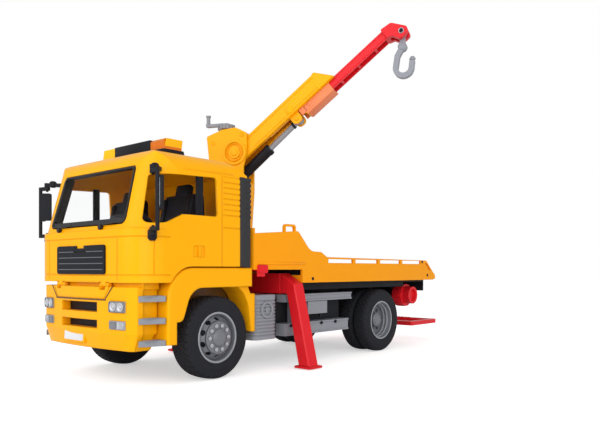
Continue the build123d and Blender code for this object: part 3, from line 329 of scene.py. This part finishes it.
# Bed: deck, side walls and the box under the crane in one moulding of orange-yellow ABS, a
# deeper yellow than the cab's, with grip ribs on the deck. Black caps close the bolts along
# its sides, and black walls close the tunnel behind the outrigger beam.
bed_abs = moulded("bed_yellow_moulded_abs", "fba312", "f89d0e", 0.22, grain_depth=0.002,
                  edge_mm=0.8, Specular_IOR_Level=0.1)
dress(bed_abs, "bed")
dress(red_abs, "bed_catches")
form = bmesh.new()
for x in (-60, -48, -36, 36, 48, 60):
    block(form, (3.2, 205, 1.0), (x, 104, 83.2), round_mm=0.35)
for n in range(18):
    block(form, (46, 1.6, 0.8), (0, 8 + 11.5 * n, 83.1), round_mm=0.3)
put("deck_ribs", form, bed_abs, "truck")
rib_low, rib_high = 84, 107
form = bmesh.new()
for x in (-66, -33, 33, 66):
    block(form, (2.4, 1.2, rib_high - rib_low), (x, -12.8, (rib_low + rib_high) / 2),
          round_mm=0.35)
for side in (-1, 1):
    block(form, (1.2, 62, 2.2), (side * 77.2, -48, 93.4), round_mm=0.4)
put("box_ribs", form, bed_abs, "truck")
for hand, hand_place in both:
    form = bmesh.new()
    block(form, (46, 0.8, 13), (50.5, -15.2, 85), round_mm=0.2)
    put("beam_tunnel_back_" + hand, form, black_abs, "truck", hand_place)
for hand, hand_place in both:
    form = bmesh.new()
    for y, z in ((193.8, 96.9), (206, 81.4), (-6, 79.6)):
        turned(form, ((76.5, 1.5), (77.4, 1.5), (77.8, 1.0), (77.8, 0)), 16, place=at(0, y, z))
    put("rail_caps_" + hand, form, black_abs, "truck", hand_place)


# Rear winch: one red ABS shaft with a ribbed knob at each end and a black sleeve inboard.
# The towing frame under it is moulded in the same red, with a grip across its end.
dress(red_abs, "winch_shaft", "tow_frame")
winch_place = at(0, 192, 58)
knob_ribs = 24
next_rib = Matrix.Rotation(math.radians(360 / knob_ribs), 3, "X")
for hand, hand_place in both:
    form = bmesh.new()
    turned(form, ((30, 6.7), (44.8, 6.7), (44.8, 9.5), (43.6, 10), (42.4, 9.5), (42.4, 7.4),
                  (30, 7.4)), 40, True, winch_place)
    put("winch_sleeve_" + hand, form, black_abs, "winch", hand_place)
    form = bmesh.new()
    for n in range(knob_ribs):
        block(form, (8.6, 1.1, 0.9), (51, 0, 13), round_mm=0.3)
        bmesh.ops.rotate(form, cent=(0, 0, 0), matrix=next_rib, verts=form.verts)
    put("winch_knob_ribs_" + hand, form, red_abs, "winch",
        hand_place @ winch_place)
form = bmesh.new()
for n in range(9):
    block(form, (2.2, 6.4, 0.7), (-20 + 5 * n, 258, 26.1), round_mm=0.25)
put("tow_frame_grip", form, red_abs, "tow_frame")


# Cab: one yellow ABS shell. The clear screen lies in a black rubber seal, with a black strip
# down each pillar, and two short wipers stand on pins under it.
dress(yellow_abs, "cab_shell")
dress(black_abs, "window_posts", "dashboard", "seats", "light_bar")
# so clear and thin that it hardly bends what is seen through it
window_pc = moulded("clear_polycarbonate", "fbfcfc", "f8fafa", 0.04, edge_mm=0,
                    grain_depth=0.001, Transmission_Weight=1.0, IOR=1.06)
dress(window_pc, "windscreen")
# matt black against the glossy yellow
rubber = moulded("black_rubber_seal", "17181b", "1c1d20", 0.5)
screen_slope = 0.273
screen_lean_deg = math.degrees(math.atan(screen_slope))
screen_place = at(0, -194.4, 118, (-screen_lean_deg, 0, 0))
lean = 1 / math.cos(math.radians(screen_lean_deg))
form = bmesh.new()
plate(form, ((-53.6, 4.4 * lean), (53.6, 4.4 * lean), (50.6, 47.6 * lean), (-50.6, 47.6 * lean)),
      4.5, 3.4, 1.3, hollow=True, place=screen_place @ at(0, 2.8, 0))
for x, turn in ((-50.8, -3.6), (50.8, 3.6)):
    block(form, (1.2, 8, 45), (x, -183.6, 143.6), turn=(-screen_lean_deg, -turn, 0),
          round_mm=0.3)
put("screen_seal", form, rubber, "cab")
form = bmesh.new()
plate(form, ((-51, 5.6 * lean), (51, 5.6 * lean), (50.6, 8.4 * lean), (-50.6, 8.4 * lean)), 0.6,
      0.4, place=screen_place @ at(0, 0.6, 0))
put("screen_lower_strip", form, rubber, "cab")
form = bmesh.new()
for x in (-36.5, 25):
    turned(form, ((-1.6, 0), (-1.6, 1.5), (-1.2, 1.9), (1.2, 1.9), (1.6, 1.5), (1.6, 0)), 16,
           place=at(x, -195.6, 120.4) @ to_front)
    block(form, (2, 1.4, 5.4), (x, -196.2, 119), round_mm=0.4)
    block(form, (20, 0.9, 1.4), (x + 9, -195.9, 122.6), turn=(0, -3, 0), round_mm=0.3)
put("wipers", form, rubber, "cab")


# Side windows: they stay open. A yellow drip rail runs above each one along the roof's edge,
# and a low sill along its lower edge, both moulded with the cab.
for hand, hand_place in both:
    form = bmesh.new()
    block(form, (1.0, 50, 1.1), (75.4, -131, 164.6), turn=(0.8, 0, 0), round_mm=0.4)
    block(form, (0.9, 36, 1), (75.4, -140.5, 129.2), round_mm=0.3)
    put("drip_rail_" + hand, form, yellow_abs, "cab", hand_place)


# Grille: a black ABS insert in the cab's front, with four thin strips of dark grey foil. The
# top strip is parted in its middle, and two shoulders narrow the notch above it.
dress(black_abs, "grille")
strip_foil = moulded("dark_grey_foil", "64676e", "5c5f66", 0.3)
whole, parted = ((0, 64.6),), ((-20.8, 23), (20.8, 23))
form = bmesh.new()
for z, runs in ((88.1, whole), (92.7, whole), (97.3, whole), (101.9, parted)):
    for x, width in runs:
        block(form, (width, 0.5, 0.75), (x, -198.2, z), round_mm=0.15)
put("grille_strips", form, strip_foil, "cab")
form = bmesh.new()
for x in (-10.6, 10.6):
    block(form, (10.4, 1.3, 2.5), (x, -197.7, 105.4), round_mm=0.3)
put("grille_shoulders", form, black_abs, "cab")


# Gaiter behind the cab: soft black PVC, matt and with a coarser grain, that keeps its pleats.
# A lip runs down each side, with eight thicker bands in its upper half.
soft_pvc = moulded("soft_black_pvc", "202125", "26272b", 0.55, grain_mm=0.8, grain_depth=0.01)
dress(soft_pvc, "cab_trim")
for hand, hand_place in both:
    form = bmesh.new()
    block(form, (1.0, 5.4, 73.6), (76, -95.6, 127.2), round_mm=0.3)
    for n in range(8):
        block(form, (1.4, 5.8, 2.6), (76, -95.7, 131.6 + 4.4 * n), round_mm=0.4)
    put("gaiter_lip_" + hand, form, soft_pvc, "cab", hand_place)


# Cabin: black ABS seats, each with a headrest and round bolsters along its sides, and a grey
# boss in the steering wheel, seen through the open windows.
for x, name in ((38, "driver"), (-38, "passenger")):
    form = bmesh.new()
    block(form, (17, 7, 13), (x, -125.6, 151.6), turn=(-12, 0, 0), round_mm=2.6)
    for dx in (-16.5, 16.5):
        block(form, (4.4, 16, 5.4), (x + dx, -150, 106.4), turn=(4, 0, 0), round_mm=1.8)
        block(form, (4.4, 5, 38), (x + dx, -134.8, 128), turn=(-12, 0, 0), round_mm=1.8)
    put("seat_cushions_" + name, form, black_abs, "cab")
to_top = Matrix.Rotation(math.radians(-90), 4, "Y")
form = bmesh.new()
turned(form, ((0, 0), (0, 4.2), (1.4, 4.0), (2.2, 3.0), (2.4, 0)), 24,
       place=at(38, -169, 124, (-50, 0, 0)) @ to_top)
put("steering_boss", form, grey_abs, "cab")


# Light bar: a black ABS base and middle, and at each end a lens of amber polycarbonate, clear
# enough to look deep, with moulded flutes and a light yellow cap. On the right the cap's front
# covers the lens as far as the middle.
amber_pc = moulded("amber_polycarbonate", "ee8412", "e67a0c", 0.12, Transmission_Weight=0.2,
                   Specular_IOR_Level=0.3)
cap_abs = moulded("beacon_cap_yellow_abs", "ffc61e", "fcc01a", 0.22, Specular_IOR_Level=0.1)
dress(amber_pc, "beacon_lenses")
for hand, hand_place in both:
    form = bmesh.new()
    plate(form, ((-8.6, -4.4), (8.6, -4.4), (8.2, 4.4), (-7.0, 4.4)), 0.8, 1.1,
          place=at(42.8, -141, 188.5, (0, 0, 90)) @ at(0, 0, 0, (13.4, 0, 0)))
    block(form, (16, 14, 0.9), (34, -140.5, 192.8), round_mm=0.35)
    put("beacon_cap_" + hand, form, cap_abs, "cab", hand_place)
    form = bmesh.new()
    for n in range(6):
        block(form, (0.9, 0.5, 5.6), (27.6 + 2.5 * n, -150.1, 188), round_mm=0.2)
    put("beacon_flutes_" + hand, form, amber_pc, "cab", hand_place)
form = bmesh.new()
plate(form, ((-43.3, -3.9), (-24.4, -3.9), (-24.4, 4.1), (-41.4, 4.1)), 0.5, 0.7,
      place=at(0, -150, 188.3))
put("beacon_front_right", form, cap_abs, "cab")
form = bmesh.new()
block(form, (50.6, 19, 9.2), (0, -141.4, 188.6), round_mm=0.8)
put("light_bar_middle", form, black_abs, "cab")


# Mirrors: black ABS arms that fold on pins between two brackets, each bracket rooted in a
# round boot. A shell closes each mirror's back, with silvered foil towards the driver.
dress(black_abs, "mirror_brackets", "mirror_left", "mirror_right")
mirror_silver = moulded("silvered_mirror_foil", "c9ced4", "c2c8ce", 0.06, edge_mm=0, Metallic=0.9)
for hand, hand_place in both:
    form = bmesh.new()
    for z, x, y, r, tall in ((162.6, 73.6, -181.2, 3.0, 2.8), (113.4, 73.4, -183.4, 3.4, 4.4)):
        turned(form, ((-tall, 0), (-tall, r * 0.6), (-tall * 0.6, r), (tall * 0.6, r),
                      (tall, r * 0.6), (tall, 0)), 20, place=at(x, y, z) @ to_top)
    put("mirror_boots_" + hand, form, black_abs, "cab", hand_place)
    form = bmesh.new()
    plate(form, ((-4.5, -11.2), (4.5, -11.2), (4.5, 11.2), (-4.5, 11.2)), 1.2, 0.35,
          place=at(80.9, -184.4, 143, (0, 0, 144.5)) @ at(0, -1.2, 0))
    put("mirror_glass_" + hand, form, mirror_silver, "mirror_" + hand, hand_place)
    form = bmesh.new()
    block(form, (3.2, 3.6, 25), (85, -183.9, 143), turn=(0, 0, -35), round_mm=1.1)
    put("mirror_shell_" + hand, form, black_abs, "mirror_" + hand, hand_place)


# Wheels: soft, matt PVC tyres with rows of small pits in their tread, on grey ABS rims. A front
# rim carries a domed disc with hand holes and nuts, a rear rim two rings in its well. The lips,
# nuts and rings are the rims' grey painted lighter as highlight; the nuts' recesses, a ring
# round the disc and a black ring behind the hand holes are painted shade. Each tyre here stands
# for its CAD solid.
tyre_pvc = moulded("tyre_soft_pvc", "24252a", "2a2b30", 0.6, grain_mm=0.6, grain_depth=0.01,
                   edge_mm=0.25, Specular_IOR_Level=0.1)
rim_abs = moulded("rim_silver_moulded_abs", "767880", "6f7178", 0.28, edge_mm=0.3)
# the rims' grey, painted lighter on the nuts as highlight
nut_highlight_abs = moulded("wheel_nut_painted_highlight_abs", "b6b9bf", "aeb1b7", 0.25)
# the rims' grey, painted darker as shade in the nuts' recesses and round the disc
recess_shade_abs = moulded("recess_painted_shade_grey_abs", "484a50", "404248", 0.4)
# the rims' grey, painted lighter on the lips and well rings as highlight
lip_highlight_abs = moulded("rim_lip_painted_highlight_abs", "9fa2a8", "979aa0", 0.22)
tyre_r = 33.5
tyre_steps = 108
shoulder = 2.2
tread_from_r = 31.9
nut_count = hole_count = 10
nut_ring_r = 9.8


def tyre(form, width, shift, rows):
    """A tyre of that width in the wheel's frame, with rows of pits all round its tread."""
    h = width / 2
    tread_width = width - 2 * shoulder
    known = set(form.faces)
    tread = [(-h + shoulder + tread_width * n / rows, tyre_r - 0.5 * (2 * n / rows - 1) ** 2)
             for n in range(rows + 1)]
    turned(form, [(-h + 0.6, 20.6), (-h + 0.1, 22.6), (-h, 25.8), (-h + 0.1, 29.8),
                  (-h + 0.6, 31.6), *tread, (h - 0.6, 31.6), (h - 0.1, 29.8), (h, 25.9),
                  (h + 0.15, 25.5), (h + 0.15, 24.9), (h, 24.5), (h - 0.1, 22.8),
                  (h + 0.1, 22.3), (h + 0.1, 21.9), (h - 0.6, 20.6)], tyre_steps, True)
    fresh = [f for f in form.faces if f not in known]
    bmesh.ops.recalc_face_normals(form, faces=fresh)
    pits = []
    for face in fresh:
        centre = face.calc_center_median()
        angle = math.degrees(math.atan2(centre.y, centre.z))
        step = round(angle / 360 * tyre_steps - 0.5)
        row = math.floor((centre.x + h - shoulder) / tread_width * rows)
        if math.hypot(centre.y, centre.z) > tread_from_r and (step + row) % 3 == 0:
            pits.append(face)
    bmesh.ops.inset_individual(form, faces=pits, thickness=0.4, depth=-0.6, use_even_offset=True)
    verts = {v for f in form.faces if f not in known for v in f.verts}
    bmesh.ops.translate(form, vec=(shift, 0, 0), verts=list(verts))


def nut_ring(form, count, ring_r, x, size):
    """Wheel nuts on washers around the hub."""
    for n in range(count):
        place = Matrix.Rotation(math.tau * (n + 0.5) / count, 4, "X") @ at(x, 0, ring_r)
        turned(form, ((0, size * 1.6), (0.35, size * 1.6), (0.35, 0)), 16, place=place)
        turned(form, ((0.3, size), (1.0, size), (1.3, size * 0.7), (1.3, 0)), 6, place=place)


def oval(count, middle, half_r, half_t):
    """Points of an oval whose centre lies that far out."""
    angles = [math.tau * n / count for n in range(count)]
    return [(middle + half_r * math.cos(a), half_t * math.sin(a)) for a in angles]


def disc_cone(form):
    """The steep cone round a front disc, cut flat with its oval hand holes and then rolled up."""
    outer_r, inner_r, hole_r = 28, 20, 23.4
    foot_r, foot_x, narrowing, rise = 18.2, 5.0, 4.8, 4.9
    wall, wall_lean = 1.1, 0.6
    known = set(form.verts)
    loops = [oval(80, 0, outer_r, outer_r), oval(80, 0, inner_r, inner_r)]
    for hole in range(hole_count):
        c, s = math.cos(math.tau * hole / hole_count), math.sin(math.tau * hole / hole_count)
        loops.append([(r * c - t * s, r * s + t * c) for r, t in oval(16, hole_r, 2.6, 3.9)])
    edges = []
    for loop in loops:
        verts = [form.verts.new((0, y, z)) for z, y in loop]
        edges += [form.edges.new((a, b)) for a, b in zip(verts, verts[1:] + verts[:1])]
    bmesh.ops.triangle_fill(form, use_beauty=True, edges=edges, normal=(1, 0, 0))
    flat = [v for v in form.verts if v not in known]
    faces = list({f for v in flat for f in v.link_faces})
    grown = bmesh.ops.extrude_face_region(form, geom=faces)["geom"]
    under = [g for g in grown if isinstance(g, bmesh.types.BMVert)]
    for sink, verts in ((0, flat), (wall, under)):
        for vert in verts:
            flat_r = math.hypot(vert.co.y, vert.co.z)
            slope = (outer_r - flat_r) / (outer_r - inner_r)
            radius = foot_r - narrowing * slope - sink
            vert.co = (foot_x + rise * slope - wall_lean * sink, vert.co.y / flat_r * radius,
                       vert.co.z / flat_r * radius)


for place_name, y, wheel_x, width, shifts, rows in (
        ("front", -118, 61.6, 20, (0,), 7), ("rear", 118, 64, 15.2, (0, -17.2), 5)):
    for hand, side in (("left", 1), ("right", -1)):
        wheel_place = at(side * wheel_x, y, tyre_r, (0, 0, 90 - 90 * side))
        body = place_name + "_wheel_" + hand
        form = bmesh.new()
        for shift in shifts:
            tyre(form, width, shift, rows)
        piece = put("tread_" + place_name + "_" + hand, form, tyre_pvc, body, wheel_place)
        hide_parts("tyre_" + place_name + "_" + hand)
        dress(rim_abs, "rim_" + place_name + "_" + hand)
        form = bmesh.new()
        lip_x = width / 2 - 1.1
        turned(form, ((lip_x - 0.8, 20.6), (lip_x + 0.3, 20.6), (lip_x + 0.7, 20.1),
                      (lip_x + 0.7, 19.4), (lip_x + 0.3, 19), (lip_x - 0.8, 19)), 72, True)
        put("rim_lip_" + place_name + "_" + hand, form, lip_highlight_abs, body, wheel_place)
        form = bmesh.new()
        if place_name == "front":
            nuts = bmesh.new()
            nut_ring(nuts, nut_count, nut_ring_r, 11.0, 1.05)
            put("wheel_nuts_" + hand, nuts, nut_highlight_abs, body, wheel_place)
            # painted shade: dark discs in the nuts' recesses and a dark ring round the raised disc
            shade_marks = bmesh.new()
            for n in range(nut_count):
                mark_place = Matrix.Rotation(math.tau * (n + 0.5) / nut_count, 4, "X")
                turned(shade_marks, ((10.4, 1.9), (11.05, 1.9), (11.05, 0)), 16,
                       place=mark_place @ at(0, 0, nut_ring_r))
            turned(shade_marks, ((9.6, 13.0), (9.6, 13.9), (10.3, 13.9), (10.3, 13.0)), 64, True)
            put("nut_recess_shade_" + hand, shade_marks, recess_shade_abs, body, wheel_place)
            turned(form, ((9.2, 0), (9.2, 13.2), (10.2, 13.2), (10.7, 12.6), (10.7, 7.4),
                          (11.4, 7.1), (12.6, 6.2), (13.2, 4.4), (13.4, 2.2), (13.4, 0)), 64)
            disc_cone(form)
            shade = bmesh.new()
            turned(shade, ((3.2, 16.6), (8.4, 12.4), (8.0, 11.8), (2.8, 16.0)), 64, True)
            put("hand_hole_shade_" + hand, shade, black_abs, body,
                wheel_place)
        else:
            ring = bmesh.new()
            for x, r in ((2.2, 18.4), (-1.6, 17.8)):
                turned(ring, ((x - 0.7, r), (x - 0.7, r - 0.9), (x + 0.2, r - 1.1),
                              (x + 0.7, r - 0.7), (x + 0.7, r)), 64, True)
            put("rim_well_rings_" + hand, ring, lip_highlight_abs, body, wheel_place)
            nut_ring(form, nut_count, 10.4, -6.5, 0.8)
            turned(form, ((1.0, 6.2), (1.9, 6.0), (2.2, 5.2), (1.6, 4.6), (1.0, 4.6)), 32, True)
        put("hub_nuts_" + place_name + "_" + hand, form, rim_abs, body, wheel_place)


# Turret: two yellow cheeks on a turntable, held together by screws. Each boss has a moulded
# ring around a raised button. The crane's own axes run out along the boom, up, and across
# from cheek to cheek.
def facing(side):
    """Turns a form spun about X to stand out of that side of the crane."""
    return Matrix.Rotation(side * math.radians(-90), 4, "Y")


dress(yellow_abs, "turret")
pivot = Vector((7.5102, -31.9657, 199.3))
across = Vector((0.374607, -0.927184, 0))
out = Vector((0.927184, 0.374607, 0))
turret_axes = Matrix((out, Vector((0, 0, 1)), across)).transposed().to_4x4()
boss_place = Matrix.Translation(pivot) @ turret_axes
form = bmesh.new()
for side in (-1, 1):
    turned(form, ((15.1, 8.6), (15.6, 8.6), (15.8, 8.2), (15.6, 7.8), (15.1, 7.8)), 40, True,
           facing(side))
    turned(form, ((15.1, 3.6), (15.9, 3.4), (16.1, 2.6), (16.1, 0)), 24, place=facing(side))
    for x, y in ((-22.5, 10), (7.6, 16.5), (-21, -40), (3, -70)):
        turned(form, ((14, 1.9), (14.5, 1.9), (14.7, 1.6), (14.3, 1.3), (14.3, 0)), 16,
               place=at(x, y, 0) @ facing(side))
put("boss_rings", form, yellow_abs, "turret", boss_place)
slew_y = -35
form = bmesh.new()
turned(form, ((113, 15.2), (114.4, 16.9), (115.3, 16.9), (115.9, 16.2), (115.9, 15.2)), 56, True,
       at(0, slew_y, 0) @ to_top)
put("turntable_ring", form, yellow_abs, "turret")


# Crank: silver-grey ABS. A hexagonal cap closes its shaft, two ribs stiffen the flat arm, and
# an upright grip with two collars stands at the arm's end.
dress(grey_abs, "crank")
crank_place = (Matrix.Translation((-6.4903, -37.6222, 221.7)) @ turret_axes
               @ Matrix.Rotation(math.radians(-90), 4, "X"))
form = bmesh.new()
for low, high in ((8.8, 10.2), (16.6, 18)):
    turned(form, ((low, 0), (low, 2.4), (high, 2.4), (high, 0)), 20,
           place=at(-19.5, 0, 0) @ to_top)
turned(form, ((7, 3.4), (8.6, 3.4), (9, 3), (9, 0)), 6, place=to_top)
for y in (-1.9, 1.9):
    block(form, (17, 0.8, 0.7), (-11, y, 9), round_mm=0.25)
put("crank_collars", form, grey_abs, "crank", crank_place)


# Outer boom: a yellow ABS box with two long beads and a button on each side, and a bar across
# its end. Its channel is lined by salmon slide cheeks with a stop tab.
dress(yellow_abs, "outer_boom")
along = Vector((0.723602, 0.292354, 0.625243))
boom_axes = Matrix((along, across.cross(along), across)).transposed().to_4x4()
boom_place = Matrix.Translation(pivot) @ boom_axes
form = bmesh.new()
for side in (-1, 1):
    block(form, (84, 0.6, 0.5), (58, 2.3, side * 11.1), round_mm=0.2)
    block(form, (80, 0.6, 0.5), (58, -7.8, side * 11.1), round_mm=0.2)
    turned(form, ((11.6, 0), (11.6, 3.2), (11.2, 3.8), (10.9, 3.8)), 20,
           place=at(65, -5, 0) @ facing(side))
block(form, (3, 1.2, 21), (102.4, 5.2, 0), round_mm=0.5)
put("boom_mouldings", form, yellow_abs, "outer_boom", boom_place)
# a slippery plastic with a waxy, milky look
salmon_pom = moulded("salmon_slide_polyoxymethylene", "ec8a5c", "e88254", 0.4,
                     Specular_IOR_Level=0.2)
cheek = 7.75
form = bmesh.new()
for side in (-1, 1):
    block(form, (32, 8.4, 0.7), (92, -14.9, side * cheek), round_mm=0.3)
    block(form, (7, 6.4, 0.7), (74.6, -13.6, side * cheek), round_mm=0.3)
    turned(form, ((7.9, 0), (8.6, 0), (8.6, 1.5), (8.3, 1.8), (7.9, 1.8)), 20,
           place=at(83, -13, 0) @ facing(side))
block(form, (31, 0.7, 15.8), (92.4, -18.95, 0), round_mm=0.25)
put("slide_cheeks", form, salmon_pom, "outer_boom", boom_place)


# Inner boom: a red ABS box with two long beads on each side. Its head pin is a black hexagon
# in a ring on both sides.
dress(red_abs, "inner_boom")
head_place = boom_place @ at(184.5, -21.5, 0)
# plated steel, brighter than the plastic beside it
steel = moulded("nickel_plated_steel", "b9bcc2", "b0b3b9", 0.25, Metallic=0.8)
form = bmesh.new()
for side in (-1, 1):
    turned(form, ((7.9, 2.5), (8.6, 2.5), (8.8, 2.2), (8.6, 1.8), (7.9, 1.8)), 28, True,
           facing(side))
put("head_pin_rings", form, steel, "inner_boom", head_place)
form = bmesh.new()
for side in (-1, 1):
    turned(form, ((7.9, 1.75), (8.7, 1.75), (8.7, 1.0), (8.4, 0.9), (8.4, 0)), 6,
           place=facing(side))
put("head_pin_hexagons", form, black_abs, "inner_boom", head_place)
form = bmesh.new()
for side in (-1, 1):
    block(form, (66, 0.6, 0.4), (141, -10.6, side * 6.05), round_mm=0.15)
    block(form, (66, 0.6, 0.4), (141, -15.8, side * 6.05), round_mm=0.15)
put("inner_boom_beads", form, red_abs, "inner_boom", boom_place)


# Cylinder: a black ABS barrel with a gland ring and a band at its foot, and a grey rod with a
# black collar and a dark pin in its eye.
dress(black_abs, "cylinder_barrel")
dress(grey_abs, "cylinder_rod")
foot = Vector((11.1262, -30.5047, 180))
push = Vector((0.703616, 0.284279, 0.651237))
cylinder_axes = Matrix((push, across.cross(push), across)).transposed().to_4x4()
cylinder_place = Matrix.Translation(foot) @ cylinder_axes
form = bmesh.new()
turned(form, ((32.4, 4.6), (32.4, 5.5), (35.6, 5.5), (36.3, 5), (36.3, 3.2), (34, 3.2)), 36, True)
turned(form, ((5, 4.8), (5, 5.4), (7, 5.4), (7, 4.8)), 36, True)
put("barrel_gland", form, black_abs, "cylinder_barrel", cylinder_place)
form = bmesh.new()
turned(form, ((66, 2.4), (66, 3.3), (68, 3.3), (68, 2.4)), 28, True)
for side in (-1, 1):
    turned(form, ((4, 2.6), (4.2, 2.6), (4.2, 0)), 24, place=at(74.066, 0, 0) @ facing(side))
put("rod_eye_cap", form, black_abs, "cylinder_rod", cylinder_place)


# Hook: silver-grey ABS, with a round boss on both sides of its shank and a ball at its tip.
# It hangs upright from the head pin.
dress(grey_abs, "hook")
hook_place = Matrix.Translation((153.4787, 27.0094, 297.878)) @ turret_axes
form = bmesh.new()
for side in (-1, 1):
    turned(form, ((2.5, 3.2), (3.0, 3.0), (3.2, 2.4), (2.9, 1.8), (2.9, 0)), 24,
           place=at(0, -12, 0) @ facing(side))
turned(form, ((-2.4, 0), (-2.2, 1.6), (0, 2.9), (2.2, 1.6), (2.4, 0)), 20,
       place=at(8.7, -23.4, 0) @ to_front)
put("hook_bosses", form, grey_abs, "hook", hook_place)


# Studio: pale paper under the truck, which looks white to the camera and keeps its shadow. The
# world is plain white to the camera and through glass, and a soft grey for its light; three
# large lamps shape the truck.
paper = moulded("studio_paper", "fbfbfb", "f9f9f9", 0.9, edge_mm=0)
paper_lift = 0.5
floor_half = 4.0
paper_shader = paper.node_tree.nodes["Principled BSDF"]
paper_shader.inputs["Specular IOR Level"].default_value = 0.0
seen = add_node(paper, "ShaderNodeLightPath")
lift = add_node(paper, "ShaderNodeMath", {"operation": "MULTIPLY"},
                {0: seen.outputs["Is Camera Ray"]})
lift.inputs[1].default_value = paper_lift
paper_shader.inputs["Emission Color"].default_value = (1.0, 1.0, 1.0, 1.0)
paper.node_tree.links.new(lift.outputs[0], paper_shader.inputs["Emission Strength"])
floor_form = bmesh.new()
bmesh.ops.create_grid(floor_form, x_segments=1, y_segments=1, size=floor_half)
floor_mesh = bpy.data.meshes.new("floor")
floor_form.to_mesh(floor_mesh)
floor_form.free()
floor_mesh.materials.append(paper)
floor = bpy.data.objects.new("floor", floor_mesh)
bpy.context.scene.collection.objects.link(floor)

world = bpy.data.worlds.new("studio")
bpy.context.scene.world = world
world.use_nodes = True
sky = world.node_tree.nodes["Background"]
sky.inputs["Color"].default_value = (1.0, 1.0, 1.0, 1.0)
sky_light = 0.58
path = add_node(world, "ShaderNodeLightPath")
shown = add_node(world, "ShaderNodeMath", {"operation": "MAXIMUM"},
                 {0: path.outputs["Is Camera Ray"], 1: path.outputs["Is Transmission Ray"]})
brightness = add_node(world, "ShaderNodeMapRange", {"To Min": sky_light, "To Max": 1.0},
                      {"Value": shown.outputs[0]})
world.node_tree.links.new(brightness.outputs["Result"], sky.inputs["Strength"])

for name, place, aim, size, power in (
        ("side_light", (1.9, -0.2, 0.75), (0, 0, 0.1), 1.6, 6.5),
        ("front_light", (-0.2, -2.0, 0.95), (0, -0.1, 0.1), 1.8, 19),
        ("fill_light", (1.3, -1.3, 0.4), (0.05, -0.05, 0.08), 1.2, 11)):
    lamp = bpy.data.lights.new(name, "AREA")
    lamp.size = size
    lamp.energy = power
    holder = bpy.data.objects.new(name, lamp)
    holder.location = place
    holder.rotation_euler = (Vector(aim) - Vector(place)).to_track_quat("-Z", "Y").to_euler()
    bpy.context.scene.collection.objects.link(holder)


# Camera: level, and fitted to the photograph's wheels, cab and bed. The shift keeps the
# uprights straight with the horizon low in the frame.
camera_data = bpy.data.cameras.new("camera")
camera_data.lens = 38.05
camera_data.shift_x = 0.0044
camera_data.shift_y = 0.090
camera = bpy.data.objects.new("camera", camera_data)
camera.location = (0.4533, -0.4601, 0.0881)
camera.rotation_euler = (math.radians(90), 0, math.radians(41.04))
bpy.context.scene.collection.objects.link(camera)
bpy.context.scene.camera = camera
bpy.context.scene.view_settings.view_transform = "Standard"
